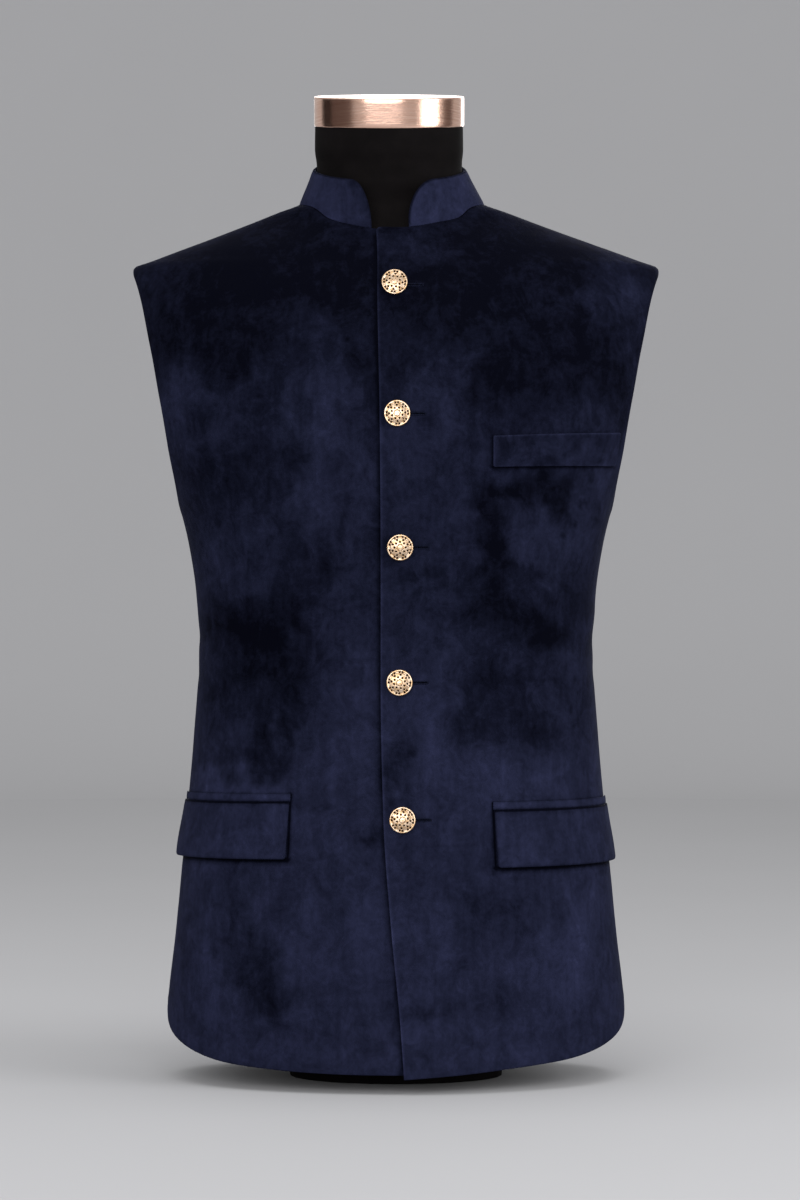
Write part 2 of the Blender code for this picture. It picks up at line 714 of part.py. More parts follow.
def back_panel(collection):
    """The back, in one piece from armhole to armhole."""
    hem = hem_line(HEM_BACK, 0.0, BACK)
    half = hem + side_seam(hem[-1][1], BACK) + armhole(BACK) + shoulder(BACK)
    neck = neckline(math.pi / 2, 3 * math.pi / 2, BACK)
    outline = half + neck + mirrored(half)[:-1]
    ridge = ridge_points(BACK, 1) + ridge_points(BACK, -1)
    cloth("back", outline, collection, start=BACK, fixed=ridge)


def collar_layer(azimuth, share, outward):
    """Points of the collar: share is 0 at its seam and 1 at its top, outward 0 or 1."""
    girth, height, start = neck_point(azimuth)
    lapped = (start == FRONT) & (girth > 0)
    lift = WALL + LAYER_GAP + np.where(lapped, lap_lift(girth, height), 0.0)
    out = BODY.normal(girth, height, start)
    seat = BODY.point(girth, height, start) + out * lift[:, None]
    ahead = np.cos(azimuth)
    facing = np.column_stack([np.sin(azimuth), -ahead, np.zeros(len(ahead))])
    seat = seat - facing * SEAM_GAP
    forward = COLLAR_TOP_CENTRE - COLLAR_TOP_FRONT
    backward = COLLAR_TOP_BACK - COLLAR_TOP_CENTRE
    depth = np.where(ahead > 0, forward, backward)
    top_height = COLLAR_SIDE_HEIGHT - COLLAR_SLOPE * ahead
    x = COLLAR_TOP_HALF_WIDTH * np.sin(azimuth) - neck_lean(top_height)
    top = np.column_stack([x, COLLAR_TOP_CENTRE - depth * ahead, top_height])
    inset = COLLAR_WALL * (1 - outward)
    return seat + (top - seat) * share[:, None] - facing * inset


def collar(collection):
    """The stand collar, one band whose front ends are rounded over their whole height."""
    left, right = COLLAR_LEFT_END, COLLAR_RIGHT_END + 2 * math.pi
    turns = span(0, math.pi / 2, math.radians(15))[:-1]
    sweep = span(left, right, math.radians(6))
    base = [(azimuth, 0.0) for azimuth in sweep]
    right_end = [
        (right - COLLAR_RIGHT_CORNER * (1 - math.cos(t)), math.sin(t)) for t in turns[1:]
    ]
    top = [
        (azimuth, 1.0)
        for azimuth in span(right - COLLAR_RIGHT_CORNER, left + COLLAR_LEFT_CORNER, math.radians(6))
    ]
    left_end = [
        (left + COLLAR_LEFT_CORNER * (1 - math.cos(t)), math.sin(t)) for t in reversed(turns[1:])
    ]
    scale = NECK_HALF_WIDTH, COLLAR_DEPTH
    outline = [(a * scale[0], h * scale[1]) for a, h in base + right_end + top + left_end]
    flat, faces = net(outline, (), COLLAR_NET)
    azimuth, share = (flat / np.array(scale)).T
    inner = collar_layer(azimuth, share, 0)
    outer = collar_layer(azimuth, share, 1)
    wall("collar", inner, outer, faces, VELVET, collection)


def chest_welt(collection):
    """The breast pocket's welt, a band sewn on at its ends and foot and open at its top."""
    outline = welt_outline()
    inner, outer = min(outline)[0], max(outline)[0]

    def lift(girth, height):
        foot = WELT_BOTTOM + WELT_SLOPE * (girth - inner)
        ends = smooth((girth - inner) / 0.025) * smooth((outer - girth) / 0.025)
        gape = WELT_GAPE * smooth((height - foot) / WELT_DEPTH) * ends
        return lap_lift(girth, height) + WALL + WELT_GAP + gape

    cloth("chest_welt", outline, collection, lift=lift, thickness=WELT_WALL, spacing=POCKET_NET)


def hip_pocket(pocket, collection):
    """A jet and the flap that hangs below it."""

    def panel_lift(girth, height):
        lapped = lap_lift(girth, height) if pocket.sign > 0 else np.zeros(len(girth))
        return lapped + WALL + LAYER_GAP

    def flap_lift(girth, height):
        below = (pocket.top - height) / FLAP_DEPTH
        return panel_lift(girth, height) + FLAP_FLARE * smooth(below)

    flap, jet = f"hip_flap_{pocket.side}", f"hip_jet_{pocket.side}"
    sizes = {"thickness": FLAP_WALL, "spacing": POCKET_NET}
    cloth(flap, flap_outline(pocket), collection, lift=flap_lift, **sizes)
    sizes["thickness"] = JET_WALL
    cloth(jet, jet_outline(pocket), collection, lift=panel_lift, **sizes)


def loft(name, rings, finish, collection):
    """A closed solid through rings of the same number of points, counterclockwise from above."""
    count = len(rings[0])
    faces = [tuple(reversed(range(count)))]
    for level in range(len(rings) - 1):
        for i in range(count):
            here, after = level * count + i, level * count + (i + 1) % count
            faces.append((here, after, after + count, here + count))
    last = (len(rings) - 1) * count
    faces.append(tuple(range(last, last + count)))
    mesh = bpy.data.meshes.new(name)
    mesh.from_pydata(np.vstack(rings).tolist(), [], faces)
    mesh.shade_smooth()
    mesh.set_sharp_from_angle(angle=math.radians(50))
    return add_object(name, mesh, finish, collection)


def button(number, girth, height, collection):
    """A domed metal button that hangs more upright than the cloth.

    Its shank goes through the buttonhole to the right front.
    """
    on_body, out = BODY.point(girth, height)[0], BODY.normal(girth, height)[0]
    facing = Vector(out * (1.0, 1.0, BUTTON_LEAN_SHARE)).normalized()
    swing = Vector(out).angle(facing)
    foot = WALL + SHANK_CLEAR + SHANK_RADIUS * math.sin(swing)
    head = float(lap_lift(girth, height)) + WALL + BUTTON_CLEAR + BUTTON_RADIUS * math.sin(swing)
    turned = facing.to_track_quat("Z", "Y")
    centres = [turned.inverted() @ Vector(out * (foot - head))]
    centres += [Vector((0.0, 0.0, level.height)) for level in BUTTON_PROFILE]
    radii = [SHANK_RADIUS] + [level.radius for level in BUTTON_PROFILE]
    angles = np.arange(BUTTON_STEPS) * (2 * math.pi / BUTTON_STEPS)
    circle = np.column_stack([np.cos(angles), np.sin(angles), np.zeros(BUTTON_STEPS)])
    rings = [circle * radius + np.array(centre) for radius, centre in zip(radii, centres)]
    made = loft(f"button_{number}", rings, BRASS, collection)
    made.location = Vector(on_body + out * head)
    made.rotation_mode = "QUATERNION"
    made.rotation_quaternion = turned


def form_ease(points, height):
    """How far points of the form lie inside the body at a height."""
    eases = (
        (FORM_HIP_EASE, 0.20),
        (FORM_WAIST_EASE, 0.36),
        (FORM_CHEST_EASE, 0.52),
        (FORM_CHEST_EASE, 0.60),
        (FORM_YOKE_EASE, 0.66),
        (FORM_YOKE_EASE, 0.72),
        (0.0, 0.735),
    )
    amounts, heights = zip(*eases)
    ease = np.full(len(points), np.interp(height, heights, amounts))
    from_ridge = np.abs(points[:, 1] - BODY.value("centre", height))
    on_shoulder = smooth((height - 0.645) / 0.02) * smooth(1 - from_ridge / 0.014)
    ease -= (ease - FORM_SHOULDER_EASE) * on_shoulder * smooth((0.722 - height) / 0.006)
    ahead = points[:, 1] < NECK_CENTRE
    reach = np.where(ahead, NECK_CENTRE - NECK_FRONT, NECK_BACK - NECK_CENTRE)
    across = points[:, 0] + neck_lean(height)
    share = np.hypot(across / NECK_HALF_WIDTH, (points[:, 1] - NECK_CENTRE) / reach)
    half = ARMHOLE_TOP - ARMHOLE_WIDEST if height > ARMHOLE_WIDEST else ARMHOLE_WIDEST - ARMHOLE_BOTTOM
    oval = np.hypot(from_ridge / ARMHOLE_FORWARD, (height - ARMHOLE_WIDEST) / half)
    plate = FORM_ARM_EASE * smooth((1.1 - oval) / 0.5) * (np.abs(points[:, 0]) > NECK_HALF_WIDTH)
    return ease + plate + FORM_NECK_EASE * smooth((1.14 - share) / 0.12)


def form_ring(height):
    """One level ring of the form above the turn of its lower edge."""
    rings = []
    for start in (FRONT, BACK):
        share = np.linspace(-1.0, 1.0, FORM_SIDES // 2 + 1)[:-1]
        girth = share * BODY.side(height, start) * -start
        points = BODY.point(girth, height, start)
        inwards = BODY.normal(girth, height, start) * form_ease(points, height)[:, None]
        rings.append(points - inwards)
    ring = np.vstack(rings)
    lean = smooth((height - 0.735) / 0.045)
    ring[:, 2] += (ring[:, 1] - BODY.value("centre", height)) * math.tan(NECK_TILT) * lean
    return ring


def form_base(lowest):
    """The rings of the foot and of the turned lower edge, from the floor up to lowest."""
    rim = form_ring(lowest)
    across = FOOT_HALF_WIDTH / np.abs(rim[:, 0]).max()
    along = FOOT_HALF_DEPTH / np.abs(rim[:, 1]).max()
    foot = rim * (across, along, 0.0)
    rings = [foot * (0.985, 0.985, 1.0), foot + (0.0, 0.0, 0.0025), foot + (0.0, 0.0, FOOT_HEIGHT)]
    for turn in span(0, math.pi / 2, math.radians(15))[1:-1]:
        share = math.sin(turn)
        ring = foot + (rim * (1.0, 1.0, 0.0) - foot) * share
        rise = FOOT_HEIGHT + (lowest - FOOT_HEIGHT) * (1 - math.cos(turn))
        rings.append(ring + (0.0, 0.0, rise))
    return rings


def dress_form(collection):
    """The torso and neck of the form, turned in above a recessed foot."""
    lowest = FOOT_HEIGHT + FORM_TURN
    trunk = span(lowest, SHOULDER_ROWS[0], 0.045)[:-1]
    heights = [*trunk, *SHOULDER_ROWS, 0.744, 0.756, 0.770, NECK_TOP]
    loft("dress_form", form_base(lowest) + [form_ring(z) for z in heights], JERSEY, collection)


def neck_cap(collection):
    """The metal cap on the neck, tilted forward with it."""
    mesh = bpy.data.meshes.new("neck_cap")
    shape = bmesh.new()
    bmesh.ops.create_cone(
        shape, cap_ends=True, segments=48, radius1=1.0, radius2=1.0, depth=CAP_HEIGHT
    )
    bmesh.ops.scale(shape, vec=(CAP_HALF_WIDTH, CAP_HALF_DEPTH, 1.0), verts=shape.verts)
    ends = [edge for edge in shape.edges if len({round(v.co.z, 6) for v in edge.verts}) == 1]
    bmesh.ops.bevel(
        shape, geom=ends, offset=CAP_BEVEL, segments=1, profile=0.5, affect="EDGES"
    )
    shape.to_mesh(mesh)
    shape.free()
    mesh.shade_smooth()
    mesh.set_sharp_from_angle(angle=math.radians(40))
    made = add_object("neck_cap", mesh, ROSE_GOLD, collection)
    centre = float(BODY.value("centre", NECK_TOP))
    tilt = Matrix.Rotation(NECK_TILT, 4, "X")
    top = Vector((-neck_lean(NECK_TOP), centre, NECK_TOP))
    up = tilt @ Vector((0.0, 0.0, CAP_HEIGHT / 2 + SEAM_GAP))
    made.location = top + up
    made.rotation_euler = tilt.to_euler()


def clear_scene():
    """Empties the file that the script runs in."""
    for old in list(bpy.data.objects):
        bpy.data.objects.remove(old)


def main():
    """Builds the jacket and the form that it hangs on."""
    clear_scene()
    collection = bpy.data.collections.new("nehru_jacket_on_form")
    bpy.context.scene.collection.children.link(collection)
    left_front(collection)
    right_front(collection)
    back_panel(collection)
    collar(collection)
    chest_welt(collection)
    for pocket in HIP_POCKETS:
        hip_pocket(pocket, collection)
    for number, (girth, height) in enumerate(button_places(), start=1):
        button(number, girth, height, collection)
    dress_form(collection)
    neck_cap(collection)


main()
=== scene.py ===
"""Looks of a navy velvet nehru jacket on its countertop dress form.

Units are metres, +Z is up and the front faces -Y. Left and right are the wearer's. A
panel is cut in the plane of girth (the way round from the centre line) and height, as a
tailor's pattern is, and is then laid on the shape that the cloth hangs in.
"""

import json
import logging
import math
from dataclasses import dataclass, field
from enum import Enum
from typing import Iterable, NamedTuple, Sequence

import bpy
import numpy as np
from mathutils import Matrix, Vector, noise
from mathutils.geometry import delaunay_2d_cdt

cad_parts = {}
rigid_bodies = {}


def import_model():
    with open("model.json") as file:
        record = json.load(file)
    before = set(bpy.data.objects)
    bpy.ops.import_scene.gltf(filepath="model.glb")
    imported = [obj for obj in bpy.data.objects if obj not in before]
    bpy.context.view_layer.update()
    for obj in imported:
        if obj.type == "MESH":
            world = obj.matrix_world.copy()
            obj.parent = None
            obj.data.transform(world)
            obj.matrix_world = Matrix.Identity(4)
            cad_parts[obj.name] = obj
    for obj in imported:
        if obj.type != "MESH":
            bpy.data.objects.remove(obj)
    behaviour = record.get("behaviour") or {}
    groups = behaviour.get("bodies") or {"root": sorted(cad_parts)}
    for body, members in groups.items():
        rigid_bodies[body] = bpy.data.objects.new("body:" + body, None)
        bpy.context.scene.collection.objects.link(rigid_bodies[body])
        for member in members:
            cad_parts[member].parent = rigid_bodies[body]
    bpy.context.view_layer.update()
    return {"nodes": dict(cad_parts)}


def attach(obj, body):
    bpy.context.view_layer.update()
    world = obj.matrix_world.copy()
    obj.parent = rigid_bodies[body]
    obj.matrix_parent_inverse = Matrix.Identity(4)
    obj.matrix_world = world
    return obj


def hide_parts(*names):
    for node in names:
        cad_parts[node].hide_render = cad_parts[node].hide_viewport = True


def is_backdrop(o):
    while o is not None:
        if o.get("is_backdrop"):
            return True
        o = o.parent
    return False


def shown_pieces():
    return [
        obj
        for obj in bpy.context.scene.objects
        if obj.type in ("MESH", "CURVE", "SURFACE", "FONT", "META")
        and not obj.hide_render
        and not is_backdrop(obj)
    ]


LOG = logging.getLogger("nehru_jacket")
ROOT = "root"

Values = np.ndarray
Line = list[tuple[float, float]]
Faces = list[tuple[int, ...]]
Pairs = tuple[tuple[float, float], ...]


class Half(Enum):
    """The half of the body that a girth starts from: its centre front or its centre back."""

    FRONT = -1
    BACK = 1


class Slot(Enum):
    """The record's material slots."""

    VELVET = "navy_velvet"
    BRASS = "button_brass"
    JERSEY = "form_jersey"
    ROSE_GOLD = "rose_gold"


def smooth(t: Values | float) -> Values:
    """0 below 0, 1 above 1 and an even ease between."""
    t = np.clip(t, 0.0, 1.0)
    return t * t * (3 - 2 * t)


def span(start: float, end: float, step: float) -> Values:
    """Evenly spaced values from start to end, both included."""
    return np.linspace(start, end, max(2, math.ceil(abs(end - start) / step) + 1))


def once_round(count: int) -> Values:
    """Even angles once round a circle."""
    return np.arange(count) / count * 2 * math.pi


def bands(levels: int, count: int, first: int = 0, falling: bool = False) -> Faces:
    """The faces between rings of points.

    Args:
        levels: How many rings there are.
        count: The points in each.
        first: The index of the first ring's first point.
        falling: Whether each ring lies below the one before it, as seen from outside.

    Returns:
        The faces, counterclockwise from outside.
    """
    faces = []
    for start in range(first, first + (levels - 1) * count, count):
        for i in range(count):
            here, after = start + i, start + (i + 1) % count
            risen = (here, after, after + count, here + count)
            faces.append((here, here + count, after + count, after) if falling else risen)
    return faces


class Curve:
    """A cubic through points that never swings past them."""

    def __init__(self, x: Sequence[float], y: Sequence[float]) -> None:
        """Works out the slopes.

        Args:
            x: The places of the points, in rising order.
            y: The values there.
        """
        self.x, self.y = np.array(x, float), np.array(y, float)
        step = np.diff(self.x)
        rise = np.diff(self.y) / step
        self.slopes = np.zeros(len(self.x))
        self.slopes[0], self.slopes[-1] = rise[0], rise[-1]
        for i in range(1, len(self.x) - 1):
            if rise[i - 1] * rise[i] > 0:
                before, after = 2 * step[i] + step[i - 1], step[i] + 2 * step[i - 1]
                self.slopes[i] = (before + after) / (before / rise[i - 1] + after / rise[i])

    def __call__(self, at: Values | float) -> Values:
        """Reads the curve.

        Args:
            at: One or more places.

        Returns:
            The values there.
        """
        at = np.clip(at, self.x[0], self.x[-1])
        i = np.clip(np.searchsorted(self.x, at) - 1, 0, len(self.x) - 2)
        step = self.x[i + 1] - self.x[i]
        t = (at - self.x[i]) / step
        near = (1 + 2 * t) * (1 - t) ** 2 * self.y[i] + t * (1 - t) ** 2 * step * self.slopes[i]
        far = t * t * (3 - 2 * t) * self.y[i + 1] + t * t * (t - 1) * step * self.slopes[i + 1]
        return near + far


class Section(NamedTuple):
    """A level section: its half width, the depths of its centre front and back, the depth
    of its side line, and the powers of its rounding, where 2 is an ellipse."""

    height: float
    half_width: float
    front: float
    back: float
    centre: float
    front_curve: float
    side_curve: float


SECTIONS = (
    Section(0.000, 0.1885, -0.1235, 0.1180, 0.000, 1.95, 1.90),  # floor
    Section(0.055, 0.1873, -0.1230, 0.1175, 0.000, 1.98, 1.95),  # hem
    Section(0.120, 0.1806, -0.1210, 0.1170, 0.000, 2.05, 2.00),
    Section(0.200, 0.1730, -0.1160, 0.1130, 0.000, 2.15, 2.10),  # hip flaps
    Section(0.280, 0.1657, -0.1100, 0.1040, 0.000, 2.25, 2.20),
    Section(0.357, 0.1611, -0.1070, 0.0950, 0.001, 2.35, 2.30),  # waist
    Section(0.400, 0.1637, -0.1090, 0.0940, 0.003, 2.40, 2.35),
    Section(0.440, 0.1697, -0.1135, 0.0975, 0.004, 2.40, 2.40),
    Section(0.477, 0.1789, -0.1180, 0.1030, 0.005, 2.40, 2.50),  # underarm
    Section(0.520, 0.1925, -0.1210, 0.1090, 0.006, 2.40, 2.70),  # chest
    Section(0.560, 0.2017, -0.1185, 0.1130, 0.007, 2.40, 2.80),
    Section(0.600, 0.2095, -0.1090, 0.1140, 0.008, 2.35, 2.80),
    Section(0.640, 0.2170, -0.0920, 0.1100, 0.009, 2.25, 2.50),
    Section(0.660, 0.2195, -0.0800, 0.1045, 0.010, 2.10, 2.20),
    Section(0.668, 0.2165, -0.0745, 0.1010, 0.010, 2.00, 2.10),  # shoulder tip
    Section(0.673, 0.2040, -0.0710, 0.0985, 0.010, 1.95, 2.00),
    Section(0.680, 0.1857, -0.0665, 0.0950, 0.010, 1.90, 1.90),
    Section(0.690, 0.1592, -0.0595, 0.0890, 0.010, 1.80, 1.70),
    Section(0.698, 0.1380, -0.0540, 0.0840, 0.010, 1.70, 1.60),  # neckline at the front
    Section(0.706, 0.1168, -0.0475, 0.0790, 0.010, 1.70, 1.60),
    Section(0.714, 0.0956, -0.0460, 0.0745, 0.010, 1.80, 1.70),
    Section(0.721, 0.0770, -0.0455, 0.0710, 0.010, 1.95, 1.90),  # neckline at the side
    Section(0.730, 0.0708, -0.0462, 0.0680, 0.010, 2.00, 2.00),
    Section(0.738, 0.0666, -0.0470, 0.0658, 0.009, 2.00, 2.00),  # neckline at the back
    Section(0.751, 0.0621, -0.0500, 0.0622, 0.006, 2.00, 2.00),
    Section(0.787, 0.0628, -0.0580, 0.0595, 0.001, 2.00, 2.00),  # top of the neck
    Section(0.812, 0.0628, -0.0590, 0.0590, -0.001, 2.00, 2.00),
)


class Body:
    """The shape that the cloth hangs in, given by level sections."""

    ANGLES = np.linspace(0.0, math.pi, 361)
    SIDE = 180
    STEP = 0.0004
    NECK_LEAN = 0.0058
    LEAN_FROM = 0.660
    LEAN_OVER = 0.110
    SHOULDER_TIP = 0.668
    NECK_TOP = 0.7870

    def __init__(self, sections: Iterable[Section]) -> None:
        """Fits a curve to each column of the sections."""
        table = np.array(list(sections))
        self.columns = {
            name: Curve(table[:, 0], table[:, i]) for i, name in enumerate(Section._fields)
        }

    def value(self, name: str, height: Values | float) -> Values:
        """A column of the sections, at any height."""
        return self.columns[name](height)

    def lean(self, height: Values | float) -> Values:
        """How far the neck leans towards the wearer's right at a height."""
        return self.NECK_LEAN * smooth((height - self.LEAN_FROM) / self.LEAN_OVER)

    def plan(self, angle: Values, height: Values, start: Values) -> tuple[Values, Values]:
        """The level section at an angle.

        Args:
            angle: 0 on the centre line of the starting half, pi/2 at the side line.
            height: Heights that broadcast with the angles.
            start: The starting half at each, as Half's values.

        Returns:
            The distances from the middle plane, and the depths.
        """
        centre = self.value("centre", height)
        front = centre - self.value("front", height)
        back = self.value("back", height) - centre
        near = np.where(start == Half.FRONT.value, front, back)
        far = np.where(start == Half.FRONT.value, back, front)
        sine = np.abs(np.sin(angle)) ** (2 / self.value("front_curve", height))
        cosine = np.cos(angle)
        depth = np.abs(cosine) ** (2 / self.value("side_curve", height))
        across = self.value("half_width", height) * sine
        return across, centre + start * np.where(cosine > 0, near * depth, -far * depth)

    def lengths(self, height: Values | float, start: Values | int) -> Values:
        """The girth from the centre line to each of ANGLES, a row for each height."""
        height, start = np.atleast_1d(height)[:, None], np.atleast_1d(start)[:, None]
        x, y = self.plan(self.ANGLES, height, start)
        steps = np.hypot(np.diff(x, axis=1), np.diff(y, axis=1))
        return np.hstack([np.zeros((len(steps), 1)), np.cumsum(steps, axis=1)])

    def girth_at_angle(self, angle: Values | float, height: Values, start: Values) -> Values:
        """The girth of the points at those angles."""
        lengths = self.lengths(height, start)
        place = np.atleast_1d(angle) / self.ANGLES[1]
        low = np.clip(place.astype(int), 0, len(self.ANGLES) - 2)
        rows = np.arange(len(lengths))
        step = lengths[rows, low + 1] - lengths[rows, low]
        return lengths[rows, low] + (place - low) * step

    def side(self, height: float, half: Half = Half.FRONT) -> float:
        """The girth at which the side line lies."""
        return float(self.lengths(height, half.value)[0, self.SIDE])

    def girth_at_x(self, x: Values | float, height: Values, start: Values | int) -> Values:
        """The girth of the point at that distance from the middle plane."""
        share = np.minimum(np.abs(x) / self.value("half_width", height), 1.0)
        angle = np.arcsin(share ** (self.value("front_curve", height) / 2))
        return np.sign(x) * self.girth_at_angle(angle, height, start)

    def girth_at_depth(self, forward: float, height: float, half: Half) -> float:
        """The girth of the point that far in front of or behind the side line."""
        edge = self.value("front" if half is Half.FRONT else "back", height)
        share = min(forward / abs(edge - self.value("centre", height)), 1.0)
        angle = math.acos(share ** (self.value("side_curve", height) / 2))
        return float(self.girth_at_angle(angle, height, half.value)[0])

    def height_over(self, x: Values, y: Values) -> Values:
        """The heights at which the shoulder surface passes over places in the plan."""
        low, high = np.full(len(x), self.SHOULDER_TIP), np.full(len(x), self.NECK_TOP)
        for _ in range(40):
            middle = (low + high) / 2
            centre = self.value("centre", middle)
            edge = np.where(y < centre, self.value("front", middle), self.value("back", middle))
            wide = np.abs(x) / self.value("half_width", middle)
            across = wide ** self.value("front_curve", middle)
            along = ((y - centre) / (edge - centre)) ** self.value("side_curve", middle)
            inside_it = across + along < 1
            low, high = np.where(inside_it, middle, low), np.where(inside_it, high, middle)
        return (low + high) / 2

    def point(self, girth: Values, height: Values, start: Values | int) -> Values:
        """Points on the body.

        Args:
            girth: The way round from the centre line, with +X positive.
            height: Their heights.
            start: The starting half, one or an array of Half's values.

        Returns:
            A row of x, y and z for each.
        """
        girth, height, start = np.broadcast_arrays(np.atleast_1d(girth), height, start)
        lengths = self.lengths(height, start)
        reach = np.abs(girth)
        high = np.clip((lengths < reach[:, None]).sum(axis=1), 1, len(self.ANGLES) - 1)
        rows = np.arange(len(lengths))
        before, after = lengths[rows, high - 1], lengths[rows, high]
        angle = (high - 1 + (reach - before) / (after - before)) * self.ANGLES[1]
        x, y = self.plan(angle, height, start)
        return np.column_stack([np.sign(girth) * x - self.lean(height), y, height])

    def normal(self, girth: Values, height: Values, start: Values | int) -> Values:
        """The body's outward directions at those places."""
        step = self.STEP
        girth, height, start = np.broadcast_arrays(np.atleast_1d(girth), height, start)
        ahead, behind = self.point(girth + step, height, start), self.point(girth - step, height, start)
        above, below = self.point(girth, height + step, start), self.point(girth, height - step, start)
        out = np.cross(ahead - behind, above - below) * -start[:, None]
        return out / np.linalg.norm(out, axis=1)[:, None]


BODY = Body(SECTIONS)


def tilted(right: Values, up: Values, degrees: float) -> tuple[Values, Values]:
    """How far places lie along and across a line that is tilted up by an angle."""
    turn = math.radians(degrees)
    along = right * math.cos(turn) + up * math.sin(turn)
    return along, up * math.cos(turn) - right * math.sin(turn)


class Hem(NamedTuple):
    """A hem: its height at the centre, its rise to the side and the power of that rise."""

    height: float
    rise: float
    power: float


def mirrored(line: Line) -> Line:
    """The same line on the other side, run the other way."""
    return [(-u, z) for u, z in reversed(line)]


def rounded(corners: Line, radii: Sequence[float], steps: int = 6) -> Line:
    """Cuts the corners of a polygon to arcs.

    Args:
        corners: The polygon, counterclockwise.
        radii: A radius for each corner, 0 to keep it.
        steps: The straight runs in each arc.

    Returns:
        The new outline.
    """
    points = []
    for i, radius in enumerate(radii):
        here = Vector(corners[i])
        back = (Vector(corners[i - 1]) - here).normalized()
        ahead = (Vector(corners[(i + 1) % len(corners)]) - here).normalized()
        half = back.angle(ahead) / 2
        centre = here + (back + ahead).normalized() * (radius / math.sin(half))
        first = here + back * (radius / math.tan(half)) - centre
        turn = math.pi - 2 * half
        for step in range(steps + 1 if radius else 1):
            swung = first.copy()
            swung.rotate(Matrix.Rotation(turn * step / steps, 2))
            points.append(tuple(centre + swung))
    return points


def divided(outline: Line, step: float) -> Line:
    """A closed outline with points added so that none are further apart than the step."""
    points = []
    for here, there in zip(outline, outline[1:] + outline[:1]):
        count = max(1, math.ceil(math.dist(here, there) / step))
        for i in range(count):
            t = i / count
            points.append((here[0] + (there[0] - here[0]) * t, here[1] + (there[1] - here[1]) * t))
    return points


def inside(points: Values, outline: Line) -> Values:
    """Which points lie inside a closed outline."""
    found = np.zeros(len(points), bool)
    for (x0, y0), (x1, y1) in zip(outline, outline[1:] + outline[:1]):
        crosses = (y0 > points[:, 1]) != (y1 > points[:, 1])
        at = x0 + (points[:, 1] - y0) * (x1 - x0) / (y1 - y0 if y1 != y0 else 1.0)
        found ^= crosses & (points[:, 0] < at)
    return found


def distance_to(points: Values, line: Line) -> Values:
    """How far each point lies from an open line, in the flat cut."""
    least = np.full(len(points), np.inf)
    for here, there in zip(line, line[1:]):
        start, along = np.array(here), np.subtract(there, here)
        t = np.clip((points - start) @ along / max(along @ along, 1e-18), 0, 1)
        least = np.minimum(least, np.linalg.norm(points - start - t[:, None] * along, axis=1))
    return least


class Stroke(NamedTuple):
    """A line in the cut beside which a painted highlight or, where its tone is below 0, a painted
    shade is added to the cloth's tone, fading over its reach. Points are added across one that isn't an
    edge."""

    line: Line
    reach: float
    tone: float
    across: bool = False


